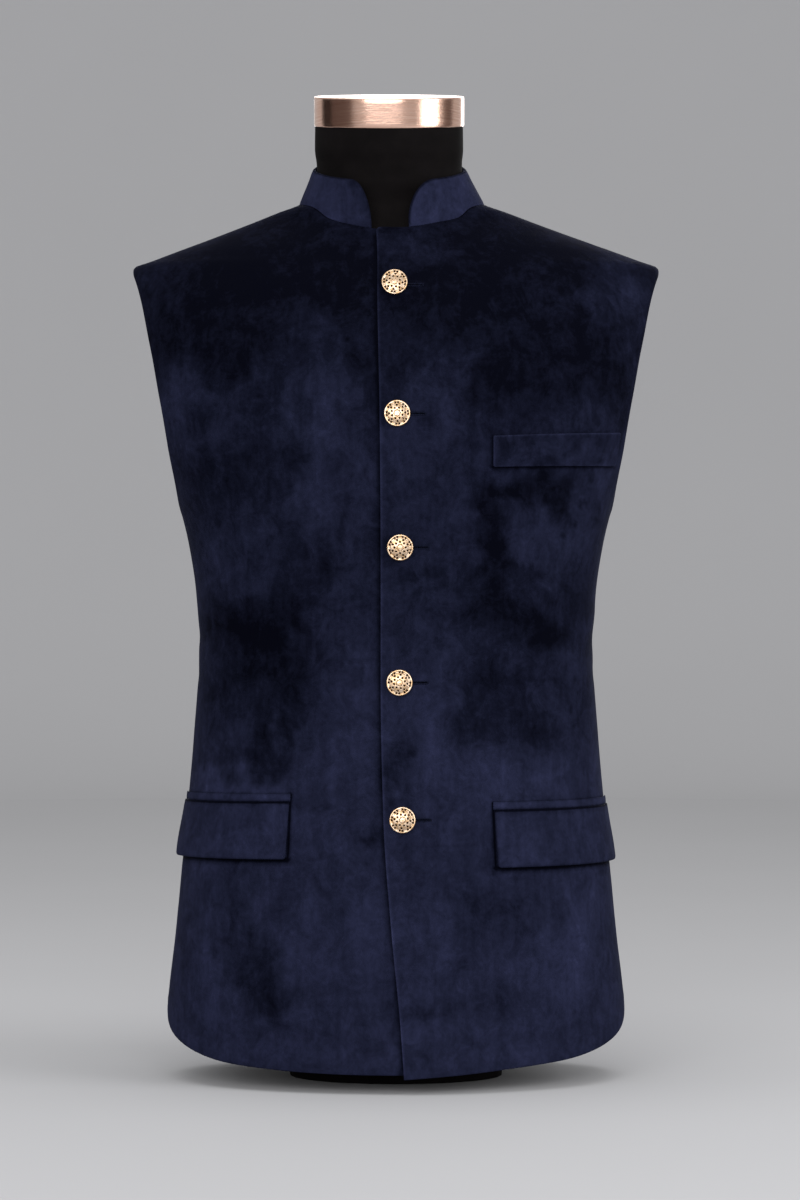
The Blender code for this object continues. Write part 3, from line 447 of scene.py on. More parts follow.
@dataclass
class FlatCut:
    """A piece of cloth cut flat, in girth and height."""

    outline: Line
    holes: list[Line] = field(default_factory=list)
    sewn: list[Line] = field(default_factory=list)
    folded: list[Line] = field(default_factory=list)
    # Lines of painted shade and painted highlights.
    strokes: list[Stroke] = field(default_factory=list)
    insets: tuple[float, ...] = (0.0010, 0.0026)

    SLIVER = 1e-10
    SHOULDER_FROM = 0.630
    SHOULDER_SHARE = 0.38
    STROKE_STEPS = (-0.0056, -0.0030, -0.0013, 0.0, 0.0013, 0.0030, 0.0056)
    STROKE_CLEAR = 0.0075
    HOLE_CLEAR = 0.0012
    INSET_SHARE = 0.9
    STROKE_MARGIN_SHARE = 1.4
    GRID_SHARE = 0.45
    SHOULDER_GRID_SHARE = 0.3

    def rows(self, low: float, high: float, spacing: float) -> Values:
        """The heights of the net's rows, closer together where the cloth turns over the shoulder."""
        plain = np.arange(low + spacing / 2, min(high, self.SHOULDER_FROM), spacing)
        close = np.arange(self.SHOULDER_FROM, high, spacing * self.SHOULDER_SHARE)
        return np.concatenate([plain, close[close > low]])

    @staticmethod
    def beside(line: Values, distance: float, closed: bool) -> Values:
        """A line moved to its left by a distance."""
        if closed:
            ahead, behind = np.roll(line, -1, axis=0) - line, line - np.roll(line, 1, axis=0)
        else:
            steps = np.diff(line, axis=0)
            ahead, behind = np.vstack([steps, steps[-1:]]), np.vstack([steps[:1], steps])
        turn = ahead / np.linalg.norm(ahead, axis=1)[:, None]
        turn += behind / np.linalg.norm(behind, axis=1)[:, None]
        away = np.column_stack([-turn[:, 1], turn[:, 0]])
        return line + away * (distance / np.maximum(np.linalg.norm(away, axis=1), 1e-9))[:, None]

    def points(self, spacing: float) -> Values:
        """The net's points inside the outline.

        Args:
            spacing: How far apart they are in the middle of the piece.

        Returns:
            A row for each: first those beside the edges and strokes, then an even grid.
        """
        edge = self.outline + self.outline[:1]
        margin = self.insets[-1]
        placed = []
        for distance in self.insets:
            moved = self.beside(np.array(self.outline), distance, True)
            clear = distance_to(moved, edge) > distance * self.INSET_SHARE
            placed.append(moved[inside(moved, self.outline) & clear])
        low, high = np.min(self.outline, axis=0), np.max(self.outline, axis=0)
        columns = np.arange(low[0] + spacing / 2, high[0], spacing)
        grid = np.stack(np.meshgrid(columns, self.rows(low[1], high[1], spacing)), axis=-1)
        grid = grid.reshape(-1, 2)
        grid = grid[inside(grid, self.outline)]
        plain = grid[:, 1] < self.SHOULDER_FROM
        clear = spacing * np.where(plain, self.GRID_SHARE, self.SHOULDER_GRID_SHARE)
        grid = grid[distance_to(grid, edge) > margin + clear]
        for stroke in self.strokes:
            if stroke.across:
                line = np.array(stroke.line)
                for step in self.STROKE_STEPS:
                    moved = self.beside(line, step, False)
                    moved = moved[inside(moved, self.outline)]
                    placed.append(moved[distance_to(moved, edge) > margin * self.STROKE_MARGIN_SHARE])
                grid = grid[distance_to(grid, stroke.line) > self.STROKE_CLEAR]
        return np.vstack([*placed, grid])

    def net(self, spacing: float) -> tuple[Values, Faces]:
        """Fills the outline with triangles.

        Args:
            spacing: How far apart the net's points are.

        Returns:
            The flat points, and the triangles, counterclockwise.
        """
        free = self.points(spacing)
        for hole in self.holes:
            clear = distance_to(free, hole + hole[:1]) > self.HOLE_CLEAR
            free = free[~inside(free, hole) & clear]
        points, edges = [], []
        for loop in (self.outline, *self.holes):
            first = len(points)
            points += loop
            edges += [(first + i, first + (i + 1) % len(loop)) for i in range(len(loop))]
        points += [tuple(p) for p in free]
        flat, _, faces, *_ = delaunay_2d_cdt([Vector(p) for p in points], edges, [], 0, 1e-7)
        flat, faces = np.array([tuple(p) for p in flat]), np.array(faces)
        corners = flat[faces]
        area = np.cross(corners[:, 1] - corners[:, 0], corners[:, 2] - corners[:, 0])
        middles = corners.mean(axis=1)
        kept = inside(middles, self.outline) & (np.abs(area) > self.SLIVER)
        for hole in self.holes:
            kept &= ~inside(middles, hole)
        faces = np.where(area[:, None] > 0, faces, faces[:, ::-1])[kept]
        return flat, [tuple(face) for face in faces.tolist()]

    def tone(self, flat: Values) -> Values:
        """The painted shade and painted highlights that the strokes add to the cloth's tone at points of
        the cut.
        """
        darker, lighter = np.zeros(len(flat)), np.zeros(len(flat))
        for stroke in self.strokes:
            change = stroke.tone * np.exp(-((distance_to(flat, stroke.line) / stroke.reach) ** 2))
            darker, lighter = np.minimum(darker, change), np.maximum(lighter, change)
        return darker + lighter


class FrontEdge(NamedTuple):
    """The girth of the left front's edge at a height."""

    height: float
    girth: float


@dataclass(frozen=True)
class Pattern:
    """The lines that the panels share, and the sizes that they come from."""

    seam_gap: float = 0.0003
    step: float = 0.0045
    front_edges: tuple[FrontEdge, ...] = (
        FrontEdge(0.000, 0.0072),
        FrontEdge(0.060, 0.0030),
        FrontEdge(0.130, -0.0037),
        FrontEdge(0.219, -0.0100),
        FrontEdge(0.327, -0.0122),
        FrontEdge(0.434, -0.0122),
        FrontEdge(0.542, -0.0130),
        FrontEdge(0.649, -0.0150),
        FrontEdge(0.720, -0.0144),
    )
    hem_left: Hem = Hem(0.0118, 0.0200, 1.10)
    hem_right: Hem = Hem(0.0155, 0.0165, 2.20)
    hem_back: Hem = Hem(0.0180, 0.0130, 2.00)
    underlap: float = 0.030
    lap_corner: float = 0.0035
    lap_level_width: float = 0.042
    lap_end_width: float = 0.088
    vent_top: float = 0.130
    vent_spread: float = 0.0035
    vent_corner_width: float = 0.110
    vent_corner_height: float = 0.040
    neck_half_width: float = 0.0770
    neck_front: float = -0.0560
    neck_back: float = 0.0665
    neck_centre: float = 0.0100
    armhole_widest: float = 0.556
    armhole_bottom: float = 0.472
    armhole_reach: float = 0.0580
    wall: float = 0.0020
    layer_gap: float = 0.0006

    def front_edge(self, height: Values | float) -> Values:
        """The girth of the left front's edge."""
        return Curve(*zip(*self.front_edges))(height)

    def lap_lift(self, girth: Values, height: Values) -> Values:
        """How far the left front is raised where it laps over the right front."""
        past = girth - self.front_edge(height) - self.lap_level_width
        ease = smooth(1 - past / (self.lap_end_width - self.lap_level_width))
        return (self.wall + self.layer_gap) * ease

    def neck_point(self, azimuth: Values | float) -> tuple[Values, Values, Values]:
        """Girths, heights and halves of the neckline, at angles from the centre front to the left."""
        azimuth = np.atleast_1d(azimuth)
        start = np.where(np.cos(azimuth) > 0, Half.FRONT.value, Half.BACK.value)
        ahead, behind = self.neck_centre - self.neck_front, self.neck_back - self.neck_centre
        reach = np.where(start == Half.FRONT.value, ahead, behind)
        x = self.neck_half_width * np.sin(azimuth)
        height = BODY.height_over(x, self.neck_centre - reach * np.cos(azimuth))
        return BODY.girth_at_x(x, height, start), height, start

    def neckline(self, first: float, last: float, half: Half) -> Line:
        """The neckline between two azimuths, both on the same half of the body."""
        line = []
        azimuths = span(first, last, math.radians(2.5))
        for azimuth, u, z in zip(azimuths, *self.neck_point(azimuths)[:2]):
            if math.cos(azimuth) * half.value > -1e-9:
                u = math.copysign(BODY.side(z, half) - self.seam_gap / 2, math.sin(azimuth))
            line.append((float(u), float(z)))
        return line

    def armhole(self, half: Half) -> Line:
        """The armhole from the underarm up to the shoulder tip, on the left."""
        points = []
        for turn in span(-math.pi / 2, math.pi / 2, math.radians(3)):
            over = BODY.SHOULDER_TIP - self.armhole_widest
            under = self.armhole_widest - self.armhole_bottom
            height = self.armhole_widest + (over if turn > 0 else under) * math.sin(turn)
            reach = self.armhole_reach * math.cos(turn)
            points.append((BODY.girth_at_depth(reach, height, half), height))
        return points[1:-1]

    def shoulder(self, half: Half) -> Line:
        """The shoulder seam from the tip up to the neck, on the left."""
        top = float(self.neck_point(math.pi / 2)[1][0]) - 0.0005
        heights = span(BODY.SHOULDER_TIP, top, self.step * FlatCut.SHOULDER_SHARE)
        return [(BODY.side(z, half) - self.seam_gap / 2, float(z)) for z in heights]

    def hem_height(self, hem: Hem, girth: float, half: Half) -> float:
        """The height of the hem at a girth."""
        return hem.height + hem.rise * (abs(girth) / BODY.side(hem.height, half)) ** hem.power

    def hem_line(self, hem: Hem, centre: float, half: Half) -> Line:
        """The hem from the centre to the rounded corner of the vent, then up the side seam."""
        side = BODY.side(hem.height, half) - self.vent_spread / 2
        corner = side - self.vent_corner_width
        line = [(float(u), self.hem_height(hem, u, half)) for u in span(centre, corner, self.step)]
        base = self.hem_height(hem, corner, half)
        for turn in span(0, math.pi / 2, math.radians(3))[1:]:
            along = self.vent_corner_width * math.sin(turn)
            drop = self.hem_height(hem, corner + along, half) - base
            height = base + drop * math.cos(turn) + self.vent_corner_height * (1 - math.cos(turn))
            edge = BODY.side(height, half) - self.vent_spread / 2 - self.vent_corner_width
            line.append((edge + along, height))
        return line

    def side_seam(self, bottom: float, half: Half) -> Line:
        """The side seam from the vent up to the underarm, open below the top of the vent."""
        line = []
        for height in span(bottom, self.armhole_bottom, self.step)[1:]:
            opening = self.vent_spread * smooth((self.vent_top - height) / (self.vent_top - bottom))
            side = BODY.side(height, half) - max(float(opening), self.seam_gap) / 2
            line.append((side, float(height)))
        return line


PATTERN = Pattern()


@dataclass(frozen=True)
class Crease:
    """A soft ridge, or a trough where its rise is below 0, pressed along a bowed run.

    The place is its middle, in girth and height. The angle is in degrees from level.
    """

    girth: float
    height: float
    angle: float
    length: float
    width: float
    rise: float
    bow: float = 0.0

    BOW_LEVEL = 0.3
    END_FADE = 0.7
    SLOW_FADE = 0.6

    def relief(self, girth: Values, height: Values) -> Values:
        """How far the cloth stands out at those places."""
        along, across = tilted(girth - self.girth, height - self.height, self.angle)
        along = along / (self.length / 2)
        across = across - self.bow * (along**2 - self.BOW_LEVEL)
        fade = along**4 * self.END_FADE + along**2 * self.SLOW_FADE
        return self.rise * np.exp(-fade - (across / self.width) ** 2)


class Patch(NamedTuple):
    """A patch of the pile that is brushed darker or lighter, or below the welt painted darker as
    shade, in x and z as seen from in front or behind, with its half sizes, its tilt in degrees and its
    change of tone."""

    x: float
    z: float
    half_width: float
    half_height: float
    tilt: float
    tone: float


FRONT_NAP = (
    Patch(-0.112, 0.672, 0.072, 0.034, -10, -0.34),  # right chest, below the collar
    Patch(-0.060, 0.664, 0.026, 0.024, -20, -0.20),
    Patch(-0.150, 0.628, 0.044, 0.024, 14, -0.22),
    Patch(-0.120, 0.600, 0.050, 0.026, 10, -0.14),
    Patch(-0.036, 0.640, 0.014, 0.046, 0, -0.24),
    Patch(-0.030, 0.586, 0.010, 0.030, 0, -0.12),
    Patch(0.108, 0.682, 0.050, 0.022, -14, -0.24),  # left shoulder
    Patch(0.060, 0.656, 0.030, 0.020, -10, -0.22),
    Patch(0.024, 0.640, 0.026, 0.018, 5, -0.20),  # round the first button
    Patch(0.052, 0.622, 0.020, 0.020, 10, -0.12),
    Patch(0.110, 0.602, 0.032, 0.040, 14, -0.18),
    Patch(0.084, 0.586, 0.016, 0.034, -10, -0.10),
    Patch(0.158, 0.584, 0.022, 0.020, 40, -0.26),
    Patch(0.176, 0.560, 0.012, 0.016, 60, -0.18),
    Patch(0.066, 0.552, 0.018, 0.030, -20, -0.10),
    Patch(0.108, 0.484, 0.027, 0.013, 0, -0.50),  # the shadowed pile below the welt
    Patch(0.094, 0.478, 0.018, 0.007, 0, -0.36),
    Patch(0.136, 0.476, 0.007, 0.006, 30, -0.34),
    Patch(0.150, 0.465, 0.016, 0.003, 0, -0.26),
    Patch(0.076, 0.430, 0.010, 0.040, 14, -0.34),
    Patch(0.092, 0.428, 0.006, 0.036, 30, -0.24),
    Patch(0.064, 0.408, 0.014, 0.018, 10, -0.20),
    Patch(-0.104, 0.382, 0.030, 0.028, 10, -0.34),  # right waist
    Patch(-0.120, 0.360, 0.016, 0.020, -10, -0.18),
    Patch(-0.070, 0.424, 0.020, 0.022, 30, -0.16),
    Patch(-0.112, 0.322, 0.040, 0.040, -14, -0.25),
    Patch(-0.092, 0.344, 0.022, 0.030, 10, -0.16),
    Patch(-0.124, 0.262, 0.034, 0.010, 4, -0.26),
    Patch(-0.112, 0.284, 0.006, 0.024, 4, -0.22),
    Patch(-0.096, 0.288, 0.005, 0.022, 0, -0.24),
    Patch(-0.082, 0.284, 0.005, 0.024, -4, -0.22),
    Patch(0.104, 0.382, 0.046, 0.014, 0, -0.26),  # left waist
    Patch(0.078, 0.364, 0.014, 0.022, 20, -0.16),
    Patch(0.128, 0.366, 0.026, 0.020, 10, -0.16),
    Patch(0.110, 0.300, 0.044, 0.026, 0, -0.17),
    Patch(0.108, 0.290, 0.010, 0.012, 25, -0.12),
    Patch(0.078, 0.318, 0.018, 0.030, 0, -0.14),
    Patch(0.104, 0.334, 0.040, 0.006, 0, -0.16),
    Patch(0.058, 0.330, 0.012, 0.024, 0, -0.12),
    Patch(0.004, 0.258, 0.007, 0.020, 0, -0.26),
    Patch(-0.145, 0.488, 0.036, 0.034, 25, -0.12),
    Patch(-0.100, 0.520, 0.020, 0.036, 10, -0.10),
    Patch(-0.140, 0.154, 0.036, 0.020, 10, -0.14),
    Patch(-0.114, 0.092, 0.018, 0.034, 24, -0.24),
    Patch(-0.096, 0.074, 0.016, 0.014, 10, -0.18),
    Patch(-0.150, 0.112, 0.026, 0.014, 0, -0.14),
    Patch(0.080, 0.146, 0.044, 0.016, 0, -0.12),
    Patch(0.016, 0.066, 0.018, 0.005, 0, -0.24),
    Patch(0.070, 0.070, 0.026, 0.012, 0, -0.14),
    Patch(-0.018, 0.206, 0.008, 0.006, 30, -0.22),
    Patch(-0.052, 0.612, 0.030, 0.028, 0, 0.17),  # brushed lighter from here on
    Patch(-0.060, 0.560, 0.020, 0.022, 10, 0.10),
    Patch(-0.056, 0.508, 0.022, 0.044, 0, 0.14),
    Patch(-0.026, 0.680, 0.026, 0.010, -20, 0.16),
    Patch(0.012, 0.684, 0.014, 0.010, 0, 0.16),
    Patch(-0.182, 0.548, 0.014, 0.030, 0, 0.20),
    Patch(-0.150, 0.560, 0.024, 0.012, 10, 0.12),
    Patch(0.003, 0.514, 0.018, 0.036, 0, 0.12),
    Patch(0.035, 0.560, 0.022, 0.030, 0, 0.08),
    Patch(0.168, 0.490, 0.014, 0.014, 0, 0.18),
    Patch(0.135, 0.440, 0.034, 0.030, 0, 0.12),
    Patch(0.192, 0.640, 0.010, 0.036, 10, 0.22),
    Patch(0.150, 0.640, 0.016, 0.010, 30, 0.12),
    Patch(-0.130, 0.246, 0.046, 0.007, 0, 0.22),
    Patch(0.110, 0.244, 0.040, 0.008, 0, 0.16),
    Patch(-0.030, 0.330, 0.030, 0.030, 0, 0.08),
    Patch(0.030, 0.290, 0.024, 0.050, 0, 0.10),
    Patch(-0.156, 0.410, 0.010, 0.050, 0, 0.10),
    Patch(-0.070, 0.125, 0.030, 0.040, 0, 0.06),
    Patch(0.150, 0.120, 0.040, 0.040, 0, 0.04),
)
BACK_NAP = (
    Patch(-0.090, 0.640, 0.060, 0.034, 12, -0.26),
    Patch(0.085, 0.655, 0.058, 0.028, -8, -0.24),
    Patch(0.030, 0.560, 0.050, 0.034, 10, -0.16),
    Patch(-0.120, 0.520, 0.034, 0.044, 0, -0.20),
    Patch(0.125, 0.455, 0.030, 0.046, 8, -0.24),
    Patch(-0.060, 0.400, 0.046, 0.034, -12, -0.26),
    Patch(0.040, 0.345, 0.050, 0.024, 4, -0.24),
    Patch(-0.130, 0.300, 0.030, 0.046, 0, -0.20),
    Patch(0.110, 0.235, 0.040, 0.034, 14, -0.20),
    Patch(-0.040, 0.180, 0.052, 0.030, 0, -0.14),
    Patch(0.060, 0.090, 0.040, 0.024, 0, -0.16),
    Patch(-0.130, 0.090, 0.030, 0.024, 10, -0.14),
    Patch(0.000, 0.480, 0.030, 0.060, 0, 0.14),
    Patch(0.090, 0.540, 0.034, 0.030, 0, 0.14),
    Patch(-0.030, 0.290, 0.040, 0.034, 0, 0.12),
    Patch(0.020, 0.140, 0.060, 0.024, 0, 0.10),
)


@dataclass(frozen=True)
class NapAndPaintedLight:
    """How the velvet's pile lies, with painted light over it that makes the cloth lighter towards the hem
    and a painted shadow below the welt: the tone of each place, from 0, dark, to 1, light.

    The edges of its patches are ragged, because the places are shifted by noise.
    The noise starts from a fixed seed, so each run gives the same patches.
    """

    seed: int = 7
    # hem_tone and chest_tone are painted light: the cloth is painted lighter towards the hem.
    hem_tone: float = 0.54
    chest_tone: float = 0.18
    floor: float = -0.02
    floor_bend: float = 11.0
    ragged: Pairs = ((28.0, 0.020), (95.0, 0.011))
    waist_share: float = 0.45
    waist_from: float = 0.22
    waist_over: float = 0.20
    chest_from: float = 0.50
    chest_over: float = 0.13
    side_reach: float = 0.01
    side_over: float = 0.04
    plateau: float = 1.2
    fade: float = 0.8

    def shifted(self, points: Values) -> Values:
        """The points, shifted by smooth noises."""
        noise.seed_set(self.seed)
        moved = points.copy()
        for scale, amount in self.ragged:
            shifts = [noise.noise_vector(Vector(point) * scale) for point in points]
            moved += np.array(shifts) * amount
        return moved

    def tone(self, points: Values, shift: float) -> Values:
        """Works out the tone at points of the cloth.

        Args:
            points: A row of x, y and z for each.
            shift: What the whole piece is lighter by.

        Returns:
            The tones.
        """
        depth, height = points[:, 1], points[:, 2]
        x, _, z = self.shifted(points).T
        # Painted light: the tone falls from the hem up to the chest.
        rise = self.waist_share * smooth((height - self.waist_from) / self.waist_over)
        rise += (1 - self.waist_share) * smooth((height - self.chest_from) / self.chest_over)
        tone = self.hem_tone + shift + (self.chest_tone - self.hem_tone) * rise
        for side, patches in ((-1, FRONT_NAP), (1, BACK_NAP)):
            shown = smooth((side * depth + self.side_reach) / self.side_over)
            for patch in patches:
                along, across = tilted(x - patch.x, z - patch.z, patch.tilt)
                away = (along / patch.half_width) ** 2 + (across / patch.half_height) ** 2
                tone += shown * patch.tone * np.exp(-(away**self.plateau) * self.fade)
        return self.floor + np.logaddexp(0.0, (tone - self.floor) * self.floor_bend) / self.floor_bend


class Shading:
    """The nodes of one material, with a Principled shader at their end."""

    def __init__(self, name: str) -> None:
        """Starts a material of that name."""
        self.material = bpy.data.materials.new(name)
        self.material.use_nodes = True
        self.nodes = self.material.node_tree.nodes
        self.shader = self.nodes["Principled BSDF"]
        self.place = self.node("ShaderNodeTexCoord").outputs["Object"]

    def node(self, kind: str, **sockets: float) -> bpy.types.Node:
        """A new node with those values on its inputs."""
        made = self.nodes.new(kind)
        for name, value in sockets.items():
            made.inputs[name.replace("_", " ")].default_value = value
        return made

    def link(self, source: bpy.types.NodeSocket, target: bpy.types.NodeSocket) -> None:
        """Joins two sockets."""
        self.material.node_tree.links.new(source, target)

    def constants(self, **sockets: float | tuple[float, ...]) -> None:
        """Sets values on the shader itself."""
        for name, value in sockets.items():
            self.shader.inputs[name.replace("_", " ")].default_value = value

    def stretched(self, x: float, y: float, z: float) -> bpy.types.NodeSocket:
        """The object's coordinates, scaled along each axis."""
        mapping = self.node("ShaderNodeMapping", Scale=(x, y, z))
        self.link(self.place, mapping.inputs["Vector"])
        return mapping.outputs["Vector"]

    def noise(
        self, scale: float, detail: float, place: bpy.types.NodeSocket | None = None, **more: float
    ) -> bpy.types.NodeSocket:
        """A noise from 0 to 1.

        Args:
            scale: Its features to a metre.
            detail: Its octaves.
            place: The coordinates, if not the object's own.
            more: Values for its other inputs.

        Returns:
            Its factor.
        """
        made = self.node("ShaderNodeTexNoise", Scale=scale, Detail=detail, **more)
        self.link(place or self.place, made.inputs["Vector"])
        return made.outputs["Fac"]

    def attribute(self, name: str) -> bpy.types.NodeSocket:
        """A value that the mesh holds for each point."""
        made = self.node("ShaderNodeAttribute")
        made.attribute_name = name
        return made.outputs["Fac"]

    def plus(
        self, base: bpy.types.NodeSocket, added: bpy.types.NodeSocket, share: float
    ) -> bpy.types.NodeSocket:
        """The base with a share of a noise added, centred so that it keeps the mean."""
        centred = self.node("ShaderNodeMath")
        centred.operation = "SUBTRACT"
        centred.inputs[1].default_value = 0.5
        self.link(added, centred.inputs[0])
        made = self.node("ShaderNodeMath")
        made.operation = "MULTIPLY_ADD"
        self.link(centred.outputs[0], made.inputs[0])
        made.inputs[1].default_value = share
        self.link(base, made.inputs[2])
        return made.outputs[0]

    def ramp(
        self, factor: bpy.types.NodeSocket, stops: Sequence[tuple[float, tuple[float, ...]]]
    ) -> bpy.types.NodeSocket:
        """Colours by a factor.

        Args:
            factor: What chooses the colour.
            stops: Each stop's place and its colour.

        Returns:
            The colour.
        """
        made = self.node("ShaderNodeValToRGB")
        elements = made.color_ramp.elements
        while len(elements) < len(stops):
            elements.new(0.5)
        for element, (position, colour) in zip(elements, stops):
            element.position = position
            element.color = (*colour, 1.0)
        self.link(factor, made.inputs["Fac"])
        return made.outputs["Color"]

    def bump(self, height: bpy.types.NodeSocket, strength: float, distance: float) -> None:
        """Raises the surface by a height, under any bump that is there already."""
        made = self.node("ShaderNodeBump", Strength=strength, Distance=distance)
        self.link(height, made.inputs["Height"])
        earlier = self.shader.inputs["Normal"].links
        if earlier:
            self.link(earlier[0].from_socket, made.inputs["Normal"])
        self.link(made.outputs["Normal"], self.shader.inputs["Normal"])


@dataclass(frozen=True)
class Velvet:
    """Short-pile cotton velvet in navy, brushed in soft patches."""

    name: str = "navy_velvet"
    darkest: tuple[float, float, float] = (0.0009, 0.0011, 0.0036)
    dark: tuple[float, float, float] = (0.0038, 0.0046, 0.0118)
    middle: tuple[float, float, float] = (0.0090, 0.0106, 0.0255)
    light: tuple[float, float, float] = (0.0158, 0.0182, 0.0440)
    lightest: tuple[float, float, float] = (0.0320, 0.0358, 0.0820)
    sheen: float = 0.02
    pile_scale: float = 2300.0

    def material(self) -> bpy.types.Material:
        """The finish, toned by the mesh's pile tone with its painted light and painted shade, and by
        clouds, flecks and streaks.
        """
        paint = Shading(self.name)
        # The pile's tone from the mesh, which holds painted shade and painted highlights too.
        tone = paint.attribute("nap_and_painted_light")
        tone = paint.plus(tone, paint.noise(13.0, 5.0, Roughness=0.62, Distortion=0.7), 0.40)
        brushed = paint.noise(54.0, 6.0, paint.stretched(1.0, 1.0, 0.82), Roughness=0.70, Distortion=0.7)
        tone = paint.plus(tone, brushed, 0.78)
        tone = paint.plus(tone, paint.noise(230.0, 4.0, Roughness=0.66, Distortion=0.3), 0.36)
        streaks = paint.noise(170.0, 3.0, paint.stretched(1.0, 1.0, 0.12))
        tone = paint.plus(tone, streaks, 0.24)
        stops = (
            (0.0, self.darkest),
            (0.25, self.dark),
            (0.50, self.middle),
            (0.75, self.light),
            (1.0, self.lightest),
        )
        paint.link(paint.ramp(tone, stops), paint.shader.inputs["Base Color"])
        paint.constants(
            Roughness=0.86,
            Specular_IOR_Level=0.02,
            Sheen_Weight=self.sheen,
            Sheen_Roughness=0.42,
            Sheen_Tint=(0.34, 0.38, 0.80, 1.0),
        )
        paint.bump(paint.noise(self.pile_scale, 2.0), 0.30, 0.0004)
        paint.bump(paint.noise(520.0, 3.0, paint.stretched(1.0, 1.0, 0.3)), 0.14, 0.0008)
        return paint.material


@dataclass(frozen=True)
class Thread:
    """Navy buttonhole twist, a shade darker than the cloth."""

    name: str = "buttonhole_twist"
    colour: tuple[float, float, float] = (0.0046, 0.0060, 0.0165)

    def material(self) -> bpy.types.Material:
        """The finish, with the twist's fine strands."""
        paint = Shading(self.name)
        shade = paint.noise(900.0, 2.0)
        low = tuple(c * 0.55 for c in self.colour)
        high = tuple(c * 1.6 for c in self.colour)
        paint.link(paint.ramp(shade, ((0.3, low), (0.7, high))), paint.shader.inputs["Base Color"])
        paint.constants(Roughness=0.7, Specular_IOR_Level=0.06)
        paint.bump(paint.noise(3800.0, 1.0), 0.3, 0.0001)
        return paint.material


@dataclass(frozen=True)
class Brass:
    """Polished pale gold brass, with painted shade in its pierced places."""

    name: str = "button_brass"
    bright: tuple[float, float, float] = (0.80, 0.62, 0.46)
    worn: tuple[float, float, float] = (0.58, 0.36, 0.18)
    # The colour of the painted shade in the piercings.
    recess: tuple[float, float, float] = (0.010, 0.004, 0.002)

    def material(self) -> bpy.types.Material:
        """The finish, with painted shade where the mesh's recess value is high."""
        paint = Shading(self.name)
        wear = paint.noise(420.0, 4.0, Roughness=0.6)
        face = paint.ramp(wear, ((0.38, self.worn), (0.60, self.bright)))
        mixed = paint.node("ShaderNodeMix")
        mixed.data_type = "RGBA"
        paint.link(paint.attribute("recess"), mixed.inputs["Factor"])
        paint.link(face, mixed.inputs[6])
        mixed.inputs[7].default_value = (*self.recess, 1.0)
        paint.link(mixed.outputs[2], paint.shader.inputs["Base Color"])
        paint.constants(Metallic=1.0, Roughness=0.34)
        paint.bump(paint.noise(1500.0, 3.0), 0.12, 0.0001)
        return paint.material


@dataclass(frozen=True)
class Jersey:
    """Plain black jersey, stretched over the form, with its fine vertical wales."""

    name: str = "form_jersey"
    dark: tuple[float, float, float] = (0.0034, 0.0029, 0.0030)
    light: tuple[float, float, float] = (0.0058, 0.0048, 0.0050)

    def material(self) -> bpy.types.Material:
        """The finish."""
        paint = Shading(self.name)
        cloud = paint.noise(38.0, 5.0, Roughness=0.6)
        colour = paint.ramp(cloud, ((0.3, self.dark), (0.7, self.light)))
        paint.link(colour, paint.shader.inputs["Base Color"])
        paint.constants(Roughness=0.85, Specular_IOR_Level=0.03, Sheen_Weight=0.005)
        paint.bump(paint.noise(1500.0, 1.0, paint.stretched(1.0, 1.0, 0.35)), 0.3, 0.0003)
        return paint.material


@dataclass(frozen=True)
class RoseGold:
    """Rose-gold plated steel, brushed round the cap."""

    name: str = "rose_gold"
    deep: tuple[float, float, float] = (0.62, 0.36, 0.27)
    pale: tuple[float, float, float] = (0.86, 0.60, 0.48)

    def material(self) -> bpy.types.Material:
        """The finish, with level brush marks."""
        paint = Shading(self.name)
        marks = paint.noise(60.0, 6.0, paint.stretched(0.30, 0.30, 26.0), Roughness=0.7)
        colour = paint.ramp(marks, ((0.32, self.deep), (0.68, self.pale)))
        paint.link(colour, paint.shader.inputs["Base Color"])
        paint.constants(Metallic=1.0, Roughness=0.18)
        paint.bump(marks, 0.30, 0.0002)
        paint.bump(paint.noise(420.0, 4.0), 0.10, 0.0004)
        return paint.material


@dataclass(frozen=True)
class PaintedBoard:
    """The pale matt sweep that the form stands on."""

    name: str = "pale_sweep"
    colour: tuple[float, float, float] = (0.50, 0.50, 0.515)

    def material(self) -> bpy.types.Material:
        """The finish."""
        paint = Shading(self.name)
        low = tuple(c * 0.985 for c in self.colour)
        paint.link(
            paint.ramp(paint.noise(2.0, 3.0), ((0.3, low), (0.7, self.colour))),
            paint.shader.inputs["Base Color"],
        )
        paint.constants(Roughness=0.9, Specular_IOR_Level=0.1)
        return paint.material


@dataclass
class Finishes:
    """One material of each finish."""

    velvet: bpy.types.Material
    thread: bpy.types.Material
    brass: bpy.types.Material
    jersey: bpy.types.Material
    rose_gold: bpy.types.Material

    @classmethod
    def mixed(cls) -> "Finishes":
        """Makes them all."""
        makers = Velvet(), Thread(), Brass(), Jersey(), RoseGold()
        return cls(*(maker.material() for maker in makers))


def add_mesh(name: str, points: Values, faces: Faces, finish: bpy.types.Material) -> bpy.types.Object:
    """Adds a smooth-shaded mesh to the scene.

    Args:
        name: The piece's name.
        points: A row of x, y and z for each point.
        faces: Its faces, as indices of points.
        finish: Its material.

    Returns:
        The new object.
    """
    mesh = bpy.data.meshes.new(name)
    mesh.from_pydata(np.asarray(points).tolist(), [], faces)
    mesh.shade_smooth()
    mesh.materials.append(finish)
    made = bpy.data.objects.new(name, mesh)
    bpy.context.scene.collection.objects.link(made)
    return made


def keep_values(piece: bpy.types.Object, name: str, values: Values) -> None:
    """Stores a value for each point of a piece, which its material reads."""
    layer = piece.data.attributes.new(name, "FLOAT", "POINT")
    layer.data.foreach_set("value", np.asarray(values, np.float32))


def dress(piece: bpy.types.Object, slot: Slot, *nodes: str) -> None:
    """Puts a piece on the jacket's one body, in place of the solids that it stands for."""
    if nodes:
        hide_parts(*nodes)
    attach(piece, ROOT)
    LOG.info("%s: %d faces", piece.name, len(piece.data.polygons))


